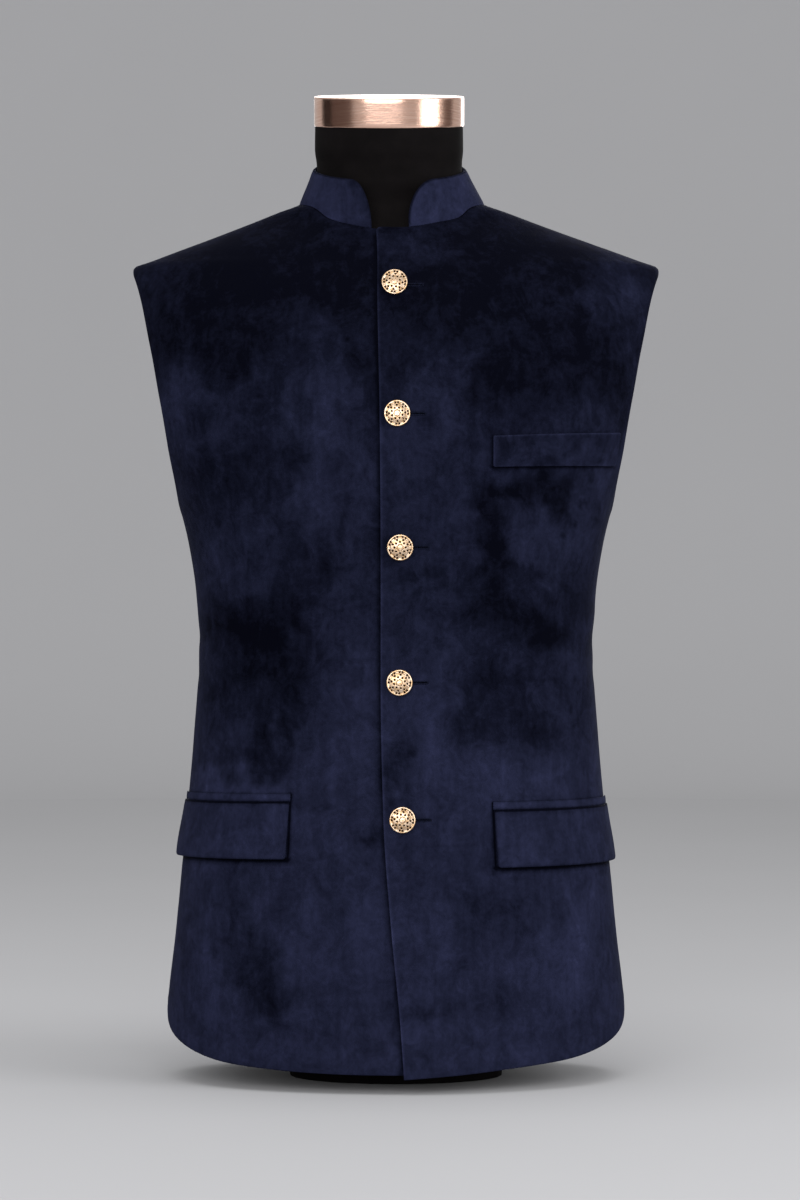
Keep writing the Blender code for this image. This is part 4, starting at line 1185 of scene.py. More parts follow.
class Shell:
    """A closed wall of cloth between two layers of points, with its edges rounded over."""

    ARC = np.radians((30.0, 60.0, 90.0, 120.0, 150.0))

    def __init__(self, inner: Values, outer: Values, faces: Faces, fold: Values) -> None:
        """Closes the wall.

        Args:
            inner: The layer next to the body.
            outer: The layer that shows.
            faces: The triangles that both layers share, counterclockwise from outside.
            fold: How far each point's edge is rounded, in metres.
        """
        sides = {(a, b) for face in faces for a, b in zip(face, face[1:] + face[:1])}
        after = {a: b for a, b in sides if (b, a) not in sides}
        before = {b: a for a, b in after.items()}
        rim = sorted(after)
        middle, half = (inner + outer) / 2, (outer - inner) / 2
        ahead = middle[[after[i] for i in rim]] - middle[[before[i] for i in rim]]
        away = np.cross(ahead, half[rim])
        away *= (fold[rim] / np.linalg.norm(away, axis=1))[:, None]
        skin, lining = outer.copy(), inner.copy()
        skin[rim] -= away
        lining[rim] -= away
        count, layers = len(inner), [lining, skin]
        self.rim = rim
        loops = [{i: i + count for i in rim}]
        for turn in self.ARC:
            start = sum(len(layer) for layer in layers)
            layers.append(middle[rim] + half[rim] * math.cos(turn) + away * (math.sin(turn) - 1))
            loops.append({i: start + k for k, i in enumerate(rim)})
        loops.append({i: i for i in rim})
        self.points = np.vstack(layers)
        self.faces = [tuple(i + count for i in face) for face in faces]
        self.faces += [tuple(reversed(face)) for face in faces]
        for upper, lower in zip(loops, loops[1:]):
            self.faces += [(upper[b], upper[a], lower[a], lower[b]) for a, b in sorted(after.items())]

    def spread(self, values: Values) -> Values:
        """Values of the flat points, carried to each of the wall's own points."""
        return np.concatenate([values, values, np.tile(values[self.rim], len(self.ARC))])


@dataclass
class Cloth:
    """A piece of velvet that lies on the body, the base of every panel and pocket piece."""

    name: str
    node: str
    flat_size: tuple[float, float]
    half: Half = Half.FRONT
    thickness: float = 0.0020
    spacing: float = 0.0045
    fold: float = 0.0008
    tone_shift: float = 0.0
    held: str = "hung"
    rests_on: tuple[str, ...] = ("dress_form",)
    creases: tuple[Crease, ...] = ()
    # How strongly the creases are painted: painted shade in their troughs and painted light on their
    # ridges, per metre of relief.
    crease_light_and_shade: float = 170.0

    FOLD_SWELL = 0.00035
    FOLD_PLACE = 0.0045
    FOLD_WIDTH = 0.0035
    SEAM_WIDTH = 0.0026
    ON_LINE = 0.0003
    SEWN_FOLD = 0.0003

    @staticmethod
    def even(line: Line, step: float = 0.003) -> Line:
        """An open line with points added at even steps."""
        return divided(line, step)[: -max(1, math.ceil(math.dist(line[-1], line[0]) / step)) + 1]

    def cut(self) -> FlatCut:
        """The flat cut of the piece."""
        raise NotImplementedError

    def lift(self, girth: Values, height: Values) -> Values:
        """How far the inner layer lies off the body."""
        return np.zeros(len(girth))

    def swell(self, flat: Values, cut: FlatCut) -> Values:
        """How far the outer layer stands out beyond the wall: over folds, less at seams."""
        rise = np.zeros(len(flat))
        for line in cut.folded:
            away = distance_to(flat, line)
            rise += self.FOLD_SWELL * np.exp(-(((away - self.FOLD_PLACE) / self.FOLD_WIDTH) ** 2))
        for line in cut.sewn:
            rise -= self.FOLD_SWELL * np.exp(-((distance_to(flat, line) / self.SEAM_WIDTH) ** 2))
        return rise

    def build(self, finish: bpy.types.Material) -> bpy.types.Object:
        """Makes the piece and puts it in place of its solid.

        Args:
            finish: The velvet.

        Returns:
            The piece.
        """
        cut = self.cut()
        flat, faces = cut.net(self.spacing)
        girth, height = flat[:, 0], flat[:, 1]
        lift = self.lift(girth, height) + self.relief(flat)
        on_body = BODY.point(girth, height, self.half.value)
        out = BODY.normal(girth, height, self.half.value)
        if self.half is Half.BACK:
            faces = [tuple(reversed(face)) for face in faces]
        inner = on_body + out * lift[:, None]
        outer = inner + out * (self.thickness + self.swell(flat, cut))[:, None]
        return self.sewn_up(cut, flat, inner, outer, faces, finish)

    def relief(self, flat: Values) -> Values:
        """How far the creases raise the cloth."""
        rise = np.zeros(len(flat))
        for crease in self.creases:
            rise += crease.relief(flat[:, 0], flat[:, 1])
        return rise

    def folds(self, flat: Values, cut: FlatCut) -> Values:
        """How far each point's edge is rounded, less at seams and round the buttonholes."""
        fold = np.full(len(flat), self.fold)
        for line in cut.sewn + [hole + hole[:1] for hole in cut.holes]:
            fold[distance_to(flat, line) < self.ON_LINE] = self.SEWN_FOLD
        return fold

    def sewn_up(
        self,
        cut: FlatCut,
        flat: Values,
        inner: Values,
        outer: Values,
        faces: Faces,
        finish: bpy.types.Material,
    ) -> bpy.types.Object:
        """Args:
            cut: The flat cut.
            flat: The flat points of its net.
            inner: The layer next to the body.
            outer: The layer that shows.
            faces: The triangles that both share.
            finish: The velvet.

        Returns:
            The piece.
        """
        shell = Shell(inner, outer, faces, self.folds(flat, cut))
        made = add_mesh(self.name, shell.points, shell.faces, finish)
        # Painted shade and painted highlights: the strokes, and the creases painted darker in their
        # troughs and lighter on their ridges.
        marks = cut.tone(flat) + self.crease_light_and_shade * self.relief(flat)
        tone = NapAndPaintedLight().tone(shell.points, self.tone_shift) + shell.spread(marks)
        # The mesh keeps the pile's own tone together with painted light and painted shade.
        keep_values(made, "nap_and_painted_light", tone)
        dress(made, Slot.VELVET, self.node)
        return made


class ButtonPlace(NamedTuple):
    """A button's height, how far its centre lies from the front edge and how its face is turned."""

    height: float
    from_edge: float
    turn: float


BUTTONS = (
    ButtonPlace(0.6452, 0.0140, -7.0),
    ButtonPlace(0.5421, 0.0138, 3.0),
    ButtonPlace(0.4366, 0.0155, 22.5),
    ButtonPlace(0.3277, 0.0150, -9.0),
    ButtonPlace(0.2182, 0.0151, -7.0),
)


@dataclass(frozen=True)
class Buttonhole:
    """A keyhole buttonhole: a round eye at the shank, and a slit away from the edge."""

    girth: float
    height: float
    eye: float = 0.0019
    length: float = 0.0220
    half_slit: float = 0.0003

    def outline(self) -> Line:
        """The cut, counterclockwise."""
        mouth = math.asin(self.half_slit / self.eye)
        turns = np.linspace(mouth, 2 * math.pi - mouth, 15)
        line = [
            (self.girth + self.eye * math.cos(t), self.height + self.eye * math.sin(t)) for t in turns
        ]
        end = self.girth + self.length
        low, high = self.height - self.half_slit, self.height + self.half_slit
        line += [(float(u), low) for u in np.linspace(line[-1][0], end, 9)[1:]]
        line += [(float(u), high) for u in np.linspace(end, line[0][0], 9)[:-1]]
        return line

    @classmethod
    def all(cls) -> list["Buttonhole"]:
        """One for each button."""
        return [cls(float(PATTERN.front_edge(b.height)) + b.from_edge, b.height) for b in BUTTONS]


LEFT_CREASES = (
    Crease(0.112, 0.4710, 1, 0.150, 0.0030, -0.00035),  # the chest pocket's bag
    Crease(0.088, 0.4380, 86, 0.062, 0.0060, -0.00045, 0.004),
    Crease(0.118, 0.4020, 4, 0.060, 0.0050, 0.00040, -0.003),
    Crease(0.150, 0.4150, 70, 0.050, 0.0080, -0.00045),
    Crease(0.028, 0.4160, 18, 0.040, 0.0045, -0.00060, 0.002),  # below the third button
    Crease(0.020, 0.4070, 24, 0.030, 0.0040, 0.00045),
    Crease(0.045, 0.3830, -8, 0.070, 0.0070, -0.00045, 0.004),
    Crease(0.130, 0.3650, 6, 0.090, 0.0085, -0.00060, 0.006),  # waist
    Crease(0.145, 0.3440, -4, 0.080, 0.0070, 0.00050, -0.004),
    Crease(0.190, 0.3560, 12, 0.070, 0.0090, -0.00080, 0.004),
    Crease(0.198, 0.3780, 20, 0.060, 0.0080, 0.00060),
    Crease(0.205, 0.3340, 4, 0.060, 0.0085, -0.00060),
    Crease(0.060, 0.3080, 80, 0.110, 0.0120, -0.00055, 0.006),
    Crease(0.006, 0.2580, 88, 0.060, 0.0060, -0.00050, 0.002),
    Crease(0.020, 0.0700, 4, 0.045, 0.0045, -0.00050),
    Crease(0.120, 0.0520, 2, 0.220, 0.0040, 0.00032, -0.003),  # the hem's turning
    Crease(0.160, 0.1250, 74, 0.130, 0.0160, 0.00090, 0.008),
    Crease(0.060, 0.1350, 82, 0.120, 0.0140, -0.00060, 0.006),
    Crease(0.150, 0.6100, 84, 0.090, 0.0070, -0.00060, 0.004),  # beside the armhole
    Crease(0.163, 0.6300, 78, 0.060, 0.0050, 0.00050, 0.002),
    Crease(0.182, 0.6020, 8, 0.030, 0.0045, -0.00050),
    Crease(0.070, 0.6420, 52, 0.090, 0.0110, -0.00050, 0.006),
    Crease(0.100, 0.5620, -24, 0.080, 0.0120, -0.00050, 0.006),
)
RIGHT_CREASES = (
    Crease(-0.165, 0.5400, 22, 0.070, 0.0070, -0.00060, 0.004),
    Crease(-0.150, 0.5250, 16, 0.060, 0.0060, 0.00050, 0.003),
    Crease(-0.128, 0.5020, 40, 0.060, 0.0080, -0.00050),
    Crease(-0.070, 0.3930, 4, 0.045, 0.0050, -0.00060, 0.003),
    Crease(-0.050, 0.4560, 82, 0.120, 0.0120, -0.00045, 0.006),
    Crease(-0.150, 0.3700, -6, 0.100, 0.0090, -0.00070, -0.006),  # waist
    Crease(-0.180, 0.3500, -14, 0.070, 0.0080, 0.00060, -0.004),
    Crease(-0.200, 0.3620, -10, 0.050, 0.0080, -0.00070),
    Crease(-0.125, 0.3450, 6, 0.080, 0.0070, 0.00045, 0.004),
    Crease(-0.205, 0.3320, -2, 0.050, 0.0070, -0.00050),
    Crease(-0.115, 0.2800, 88, 0.090, 0.0070, -0.00050, 0.003),
    Crease(-0.100, 0.2760, 90, 0.070, 0.0050, 0.00040, 0.002),
    Crease(-0.086, 0.2850, 86, 0.060, 0.0050, -0.00045),
    Crease(-0.040, 0.0840, 2, 0.080, 0.0045, -0.00040, 0.002),
    Crease(-0.130, 0.0560, -2, 0.200, 0.0040, 0.00032, -0.003),  # the hem's turning
    Crease(-0.110, 0.1000, 70, 0.100, 0.0120, -0.00065, 0.006),
    Crease(-0.165, 0.1250, 100, 0.130, 0.0170, 0.00090, 0.008),
    Crease(-0.060, 0.1500, 96, 0.120, 0.0140, -0.00055, 0.006),
    Crease(-0.120, 0.6500, -50, 0.090, 0.0120, -0.00050, 0.006),
    Crease(-0.175, 0.6100, 96, 0.080, 0.0070, 0.00045, 0.004),
    Crease(-0.045, 0.6150, 78, 0.080, 0.0100, -0.00040, 0.004),
    Crease(-0.020, 0.2060, 34, 0.030, 0.0040, -0.00045, 0.002),
)
BACK_CREASES = (
    Crease(0.030, 0.3580, 8, 0.160, 0.0110, -0.00140, 0.008),  # above the seat
    Crease(-0.070, 0.3760, -12, 0.120, 0.0100, -0.00110, 0.006),
    Crease(0.110, 0.3420, 14, 0.110, 0.0100, 0.00100, -0.006),
    Crease(-0.120, 0.3480, -10, 0.100, 0.0090, 0.00080, 0.004),
    Crease(0.010, 0.3360, -4, 0.130, 0.0090, 0.00080, 0.005),
    Crease(0.175, 0.3650, 18, 0.080, 0.0090, -0.00090, 0.004),
    Crease(-0.185, 0.3600, -16, 0.075, 0.0090, -0.00090, 0.004),
    Crease(0.095, 0.5200, 62, 0.140, 0.0130, -0.00090, 0.010),
    Crease(-0.105, 0.5300, -58, 0.130, 0.0130, -0.00090, -0.010),
    Crease(0.140, 0.4700, 48, 0.090, 0.0100, 0.00070, 0.006),
    Crease(-0.150, 0.4600, -44, 0.090, 0.0100, 0.00060, 0.006),
    Crease(0.020, 0.6400, 6, 0.140, 0.0120, -0.00070, -0.008),
    Crease(-0.060, 0.2000, 84, 0.180, 0.0180, 0.00110, 0.010),
    Crease(0.075, 0.1900, 96, 0.190, 0.0180, 0.00100, -0.010),
    Crease(0.005, 0.1700, 90, 0.170, 0.0200, -0.00110, 0.008),
    Crease(0.150, 0.1500, 80, 0.140, 0.0170, -0.00080, 0.008),
    Crease(-0.150, 0.1450, 102, 0.140, 0.0170, -0.00080, 0.008),
    Crease(0.080, 0.0580, 1, 0.230, 0.0045, 0.00034, 0.002),  # the hem's turning
    Crease(-0.120, 0.0580, -1, 0.210, 0.0045, 0.00034, 0.002),
)


@dataclass
class LeftFront(Cloth):
    """The front that laps over, with its buttonholes."""

    name: str = "left_front_velvet"
    node: str = "front_left"
    flat_size: tuple[float, float] = (0.285, 0.745)
    creases: tuple[Crease, ...] = LEFT_CREASES
    tone_shift: float = -0.03

    def cut(self) -> FlatCut:
        """The panel, from the hem round by the side, armhole, shoulder and neck to the edge."""
        p = PATTERN
        hem = p.hem_line(p.hem_left, float(p.front_edge(p.hem_left.height)), Half.FRONT)
        seam = p.side_seam(hem[-1][1], Half.FRONT)
        neck = p.neckline(math.pi / 2, math.radians(-6), Half.FRONT)
        neck = [(u, z) for u, z in neck if u > p.front_edge(z) + p.lap_corner * 1.3]
        top = neck[-1][1]
        top_girth = float(p.front_edge(top)) + p.lap_corner
        corner = [
            (top_girth - p.lap_corner * math.sin(t), top - p.lap_corner * (1 - math.cos(t)))
            for t in span(0, math.pi / 2, math.radians(15))
        ]
        heights = span(corner[-1][1], hem[0][1], p.step)[1:-1]
        edge = [(float(p.front_edge(z)), float(z)) for z in heights]
        arm, ridge = p.armhole(Half.FRONT), p.shoulder(Half.FRONT)
        sewn = [[place for place in seam if place[1] > p.vent_top], ridge, neck]
        return FlatCut(
            outline=hem + seam + arm + ridge + neck + corner + edge,
            holes=[hole.outline() for hole in Buttonhole.all()],
            sewn=sewn,
            folded=[hem, arm, corner + edge],
            # Painted highlight along the front edge, and faint painted shade along the neck seam under the
            # collar.
            strokes=[Stroke(corner + edge, 0.0014, 0.26), Stroke(neck, 0.0016, -0.04)]
            + ChestWelt.shadows()
            + pocket_shadows(HIP_POCKETS[0]),
        )

    def lift(self, girth: Values, height: Values) -> Values:
        """Raised by one wall and a gap where it laps over."""
        return PATTERN.lap_lift(girth, height)


@dataclass
class RightFront(Cloth):
    """The front that lies under, with its edge hidden by the lap."""

    name: str = "right_front_velvet"
    node: str = "front_right"
    flat_size: tuple[float, float] = (0.285, 0.745)
    creases: tuple[Crease, ...] = RIGHT_CREASES
    press: float = 0.0006

    def cut(self) -> FlatCut:
        """The panel, from the side of the hem round by the edge, neck and armhole to the side."""
        p = PATTERN
        hem_end = float(p.front_edge(p.hem_right.height)) + p.underlap
        hem = mirrored(p.hem_line(p.hem_right, -hem_end, Half.FRONT))
        seam = p.side_seam(hem[0][1], Half.FRONT)
        neck = p.neckline(math.radians(11), -math.pi / 2, Half.FRONT)
        shift = neck[0][0] - float(p.front_edge(neck[0][1])) - p.underlap
        edge = [
            (float(p.front_edge(z)) + p.underlap + shift * float(smooth((z - 0.60) / 0.10)), float(z))
            for z in span(hem[-1][1], neck[0][1], p.step)[1:-1]
        ]
        arm, ridge, side = (
            mirrored(line) for line in (p.armhole(Half.FRONT), p.shoulder(Half.FRONT), seam)
        )
        return FlatCut(
            outline=hem + edge + neck + ridge + arm + side,
            sewn=[[place for place in side if place[1] > p.vent_top], ridge, neck],
            folded=[hem, arm, edge],
            strokes=[self.lap_shadow(0.0018, -0.34, True), self.lap_shadow(0.0060, -0.10, False)]
            # Faint painted shade along the neck seam under the collar.
            + [Stroke(neck, 0.0016, -0.04)]
            + pocket_shadows(HIP_POCKETS[1]),
        )

    def lift(self, girth: Values, height: Values) -> Values:
        """Pressed in towards its hidden edge, clear of the front that laps over."""
        return -self.press * smooth((girth - PATTERN.front_edge(height)) / PATTERN.underlap)

    @staticmethod
    def lap_shadow(reach: float, tone: float, across: bool) -> Stroke:
        """The shadow beside the left front's edge."""
        heights = span(PATTERN.hem_right.height, BODY.SHOULDER_TIP + 0.020, PATTERN.step)
        line = [(float(PATTERN.front_edge(z)) - 0.0004, float(z)) for z in heights]
        return Stroke(line, reach, tone, across)


@dataclass
class BackPanel(Cloth):
    """The back, in one piece from armhole to armhole."""

    name: str = "back_velvet"
    node: str = "back"
    flat_size: tuple[float, float] = (0.560, 0.765)
    half: Half = Half.BACK
    creases: tuple[Crease, ...] = BACK_CREASES

    def cut(self) -> FlatCut:
        """The panel, up one side, over the neck and down the other."""
        p = PATTERN
        hem = p.hem_line(p.hem_back, 0.0, Half.BACK)
        seam, arm, ridge = p.side_seam(hem[-1][1], Half.BACK), p.armhole(Half.BACK), p.shoulder(Half.BACK)
        neck = p.neckline(math.pi / 2, 3 * math.pi / 2, Half.BACK)
        half = hem + seam + arm + ridge
        closed = [place for place in seam if place[1] > p.vent_top]
        return FlatCut(
            outline=half + neck + mirrored(half)[:-1],
            sewn=[closed, mirrored(closed), ridge, mirrored(ridge), neck],
            folded=[hem, mirrored(hem), arm, mirrored(arm)],
        )


@dataclass
class Collar(Cloth):
    """The stand collar, one band whose front ends are rounded over their whole height."""

    name: str = "collar_velvet"
    node: str = "collar"
    flat_size: tuple[float, float] = (0.420, 0.045)
    thickness: float = 0.0022
    spacing: float = 0.0030
    fold: float = 0.0009
    tone_shift: float = 0.48
    held: str = "stretched"
    top_half_width: float = 0.0632
    top_front: float = -0.0575
    top_back: float = 0.0640
    top_centre: float = 0.0055
    side_height: float = 0.7520
    slope: float = 0.0165
    depth: float = 0.0360
    tuck: float = 0.0006
    left_end: float = math.radians(9.0)
    right_end: float = math.radians(346.0)
    left_corner: float = math.radians(26.0)
    right_corner: float = math.radians(17.0)

    def cut(self) -> FlatCut:
        """The band, as its length round the neckline and its height."""
        turns = span(0, math.pi / 2, math.radians(5))[:-1]
        sweep = math.radians(2.2)
        base = [(azimuth, 0.0) for azimuth in span(self.left_end, self.right_end, sweep)]
        right = [(self.right_end - self.right_corner * (1 - math.cos(t)), math.sin(t)) for t in turns[1:]]
        level = span(self.right_end - self.right_corner, self.left_end + self.left_corner, sweep)
        top = [(azimuth, 1.0) for azimuth in level]
        left = [(self.left_end + self.left_corner * (1 - math.cos(t)), math.sin(t)) for t in turns[:0:-1]]
        wide, high = PATTERN.neck_half_width, self.depth
        base, free, shaded = (
            [(float(a) * wide, h * high) for a, h in line] for line in (base, right + top + left, right)
        )
        return FlatCut(
            outline=base + free,
            sewn=[base],
            folded=[free],
            # Painted shade along the band's free edge, and a wider painted shadow inside its right front
            # end.
            strokes=[Stroke(free, 0.0013, -0.42), Stroke(shaded, 0.0075, -0.34)],
            insets=(0.0009, 0.0022),
        )

    def layer(self, azimuth: Values, share: Values, outward: Values | float) -> Values:
        """Points of the band.

        Args:
            azimuth: The angle round the neck from the centre front to the left.
            share: 0 at the seam and 1 at the top.
            outward: 0 on the neck's side and 1 on the side that shows.

        Returns:
            A row of x, y and z for each.
        """
        girth, height, start = PATTERN.neck_point(azimuth)
        lapped = (start == Half.FRONT.value) & (girth > 0)
        under = PATTERN.wall - self.tuck
        lift = under + np.where(lapped, PATTERN.lap_lift(girth, height), 0.0)
        seat = BODY.point(girth, height, start) + BODY.normal(girth, height, start) * lift[:, None]
        ahead = np.cos(azimuth)
        facing = np.column_stack([np.sin(azimuth), -ahead, np.zeros(len(ahead))])
        seat = seat - facing * PATTERN.seam_gap
        forward, backward = self.top_centre - self.top_front, self.top_back - self.top_centre
        depth = np.where(ahead > 0, forward, backward)
        top_height = self.side_height - self.slope * ahead
        x = self.top_half_width * np.sin(azimuth) - BODY.lean(top_height)
        top = np.column_stack([x, self.top_centre - depth * ahead, top_height])
        inset = self.thickness * (1 - outward)
        return seat + (top - seat) * share[:, None] - facing * np.reshape(inset, (-1, 1))

    def build(self, finish: bpy.types.Material) -> bpy.types.Object:
        """Stands the band on the neckline.

        Args:
            finish: The velvet.

        Returns:
            The piece.
        """
        cut = self.cut()
        flat, faces = cut.net(self.spacing)
        azimuth, share = flat[:, 0] / PATTERN.neck_half_width, flat[:, 1] / self.depth
        swell = 1 + self.swell(flat, cut) / self.thickness
        inner, outer = self.layer(azimuth, share, 0.0), self.layer(azimuth, share, swell)
        return self.sewn_up(cut, flat, inner, outer, faces, finish)


@dataclass
class ChestWelt(Cloth):
    """The breast pocket's welt, a band sewn on at its ends and foot and open at its top."""

    name: str = "chest_welt_velvet"
    node: str = "chest_welt"
    flat_size: tuple[float, float] = (0.119, 0.032)
    spacing: float = 0.0025
    tone_shift: float = -0.02
    held: str = "laid"
    rests_on: tuple[str, ...] = ("left_front_velvet",)
    inner_x: float = 0.0770
    width: float = 0.1180
    bottom: float = 0.5005
    depth: float = 0.0245
    slope: float = 0.048
    gap: float = 0.0007
    gape: float = 0.0012
    end_ease: float = 0.025

    def inner_end(self) -> float:
        """The girth of the end nearer the front edge."""
        return float(BODY.girth_at_x(self.inner_x, self.bottom, Half.FRONT.value)[0])

    def cut(self) -> FlatCut:
        """The band, whose top edge rises a little towards the armhole."""
        inner, rise = self.inner_end(), self.slope * self.width
        outer = inner + self.width
        foot_left, foot_right = (inner, self.bottom), (outer, self.bottom + rise * 0.6)
        top_right = (outer, self.bottom + rise + self.depth)
        top_left = (inner, self.bottom + self.depth)
        corners = [foot_left, foot_right, top_right, top_left]
        outline = divided(rounded(corners, (0.0015, 0.0015, 0.0010, 0.0010), 4), self.spacing)
        free = [top_right, top_left, foot_left]
        # Painted highlights along the free top and inner edges, and a faint one along the foot.
        strokes = [Stroke(free, 0.0011, 0.20), Stroke([foot_left, foot_right], 0.0024, 0.08)]
        return FlatCut(
            outline,
            sewn=[[foot_left, foot_right]],
            folded=[free[:2]],
            strokes=strokes,
            insets=(0.0009, 0.0022),
        )

    @classmethod
    def shadows(cls) -> list[Stroke]:
        """The shadow that it casts on the front, along its foot and its inner end."""
        welt = cls()
        inner, rise = welt.inner_end(), welt.slope * welt.width
        foot_left = inner - 0.0003, welt.bottom - 0.0003
        foot_right = inner + welt.width, welt.bottom + rise * 0.6 - 0.0003
        top_left = inner - 0.0003, welt.bottom + welt.depth
        foot = Cloth.even([foot_left, foot_right])
        end = Cloth.even([top_left, foot_left])
        return [Stroke(foot, 0.0016, -0.40, True), Stroke(end, 0.0012, -0.24, True)]

    def lift(self, girth: Values, height: Values) -> Values:
        """Just off the front, gaping a little along its top."""
        start = self.inner_end()
        foot = self.bottom + self.slope * (girth - start)
        ends = smooth((girth - start) / self.end_ease)
        ends = ends * smooth((start + self.width - girth) / self.end_ease)
        gape = self.gape * smooth((height - foot) / self.depth) * ends
        return PATTERN.lap_lift(girth, height) + PATTERN.wall + self.gap + gape


class Pocket(NamedTuple):
    """A hip pocket: its side, its inner end, its width and top, and how far it slants down."""

    side: str
    sign: int
    inner_x: float
    width: float
    top: float
    drop: float


HIP_POCKETS = (
    Pocket("left", 1, 0.0780, 0.1440, 0.2256, 0.0000),
    Pocket("right", -1, 0.0845, 0.1380, 0.2322, 0.0031),
)


@dataclass
class PocketPiece(Cloth):
    """A piece of a hip pocket, cut on the left and mirrored for the right."""

    pocket: Pocket = HIP_POCKETS[0]
    spacing: float = 0.0026
    held: str = "laid"

    def placed(self, corners: Line) -> Line:
        """Corners given as shares of the pocket's width and heights over its top."""
        pocket = self.pocket
        inner = float(BODY.girth_at_x(pocket.inner_x, pocket.top, Half.FRONT.value)[0])
        return [(inner + pocket.width * a, pocket.top - pocket.drop * a + up) for a, up in corners]

    def sided(self, line: Line) -> Line:
        """The line on the pocket's own side."""
        return line if self.pocket.sign > 0 else mirrored(line)

    def lift(self, girth: Values, height: Values) -> Values:
        """One wall and a gap off the front."""
        lapped = PATTERN.lap_lift(girth, height) if self.pocket.sign > 0 else np.zeros(len(girth))
        return lapped + PATTERN.wall + PATTERN.layer_gap


@dataclass
class Flap(PocketPiece):
    """A hip flap, which hangs a little off the front at its foot."""

    flat_size: tuple[float, float] = (0.145, 0.050)
    thickness: float = 0.0019
    tone_shift: float = 0.01
    depth: float = 0.0460
    slant: float = 0.0020
    corner: float = 0.0060
    inner_corner: float = 0.0025
    flare: float = 0.0032

    def cut(self) -> FlatCut:
        """The flap, rounded at its outer lower corner."""
        slant = self.slant / self.pocket.width
        corners = self.placed([(slant, -self.depth), (1, -self.depth), (1, 0), (0, 0)])
        outline = rounded(corners, (self.inner_corner, self.corner, 0.0, 0.0))
        free = self.sided([corners[3], corners[0], corners[1], corners[2]])
        top = self.sided([corners[2], corners[3]])
        return FlatCut(
            self.sided(divided(outline, self.spacing)),
            sewn=[top],
            folded=[free],
            # Painted shadow that the jet casts on the flap's top, and faint painted shade along its free
            # edges.
            strokes=[Stroke(top, 0.0014, -0.95), Stroke(free, 0.0010, -0.10)],
            insets=(0.0009, 0.0020),
        )

    def lift(self, girth: Values, height: Values) -> Values:
        """Flared towards the foot, with a slow wave along it."""
        below = (self.pocket.top - height) / self.depth
        wave = 0.00030 * np.sin(np.abs(girth) * 74.0 + self.pocket.sign) * smooth(below)
        return super().lift(girth, height) + (self.flare + wave) * smooth(below)


@dataclass
class Jet(PocketPiece):
    """The narrow jet above a hip flap."""

    flat_size: tuple[float, float] = (0.146, 0.011)
    thickness: float = 0.0010
    tone_shift: float = 0.06
    spacing: float = 0.0018
    fold: float = 0.0003
    depth: float = 0.0064
    clear: float = 0.0001
    overrun: float = 0.001

    def cut(self) -> FlatCut:
        """The strip, just above the flap."""
        start, low = -self.overrun / self.pocket.width, self.clear
        high = low + self.depth
        corners = self.placed([(start, low), (1, low), (1, high), (start, high)])
        foot, top = corners[:2], corners[2:]
        return FlatCut(
            self.sided(divided(corners, self.spacing)),
            # Painted shade along the strip's foot and top.
            strokes=[Stroke(self.sided(foot), 0.0010, -0.30), Stroke(self.sided(top), 0.0009, -0.16)],
            insets=(0.0009, 0.0020),
        )

    def swell(self, flat: Values, cut: FlatCut) -> Values:
        """Fuller along its middle, as a strip folded over a cord is."""
        edge = distance_to(flat, cut.outline + cut.outline[:1])
        return 0.0003 * (smooth(edge / (self.depth / 2)) - 0.5)


def pocket_shadows(pocket: Pocket) -> list[Stroke]:
    """The shadows that a hip pocket's pieces cast on the front."""
    flap = Flap("", "", pocket=pocket)
    slant = flap.slant / pocket.width
    inner_top, inner_foot, outer_foot, outer_top = flap.placed(
        [(-0.007, 0.006), (slant - 0.003, -flap.depth - 0.0004), (1.0, -flap.depth - 0.0004), (1.0, 0.006)]
    )
    strokes = [
        Stroke(flap.sided(Cloth.even([inner_foot, outer_foot])), 0.0026, -0.66, True),
        Stroke(flap.sided(Cloth.even([inner_top, inner_foot])), 0.0011, -0.66, True),
        Stroke(flap.sided(Cloth.even([inner_top, outer_top])), 0.0009, -0.30, True),
    ]
    return strokes


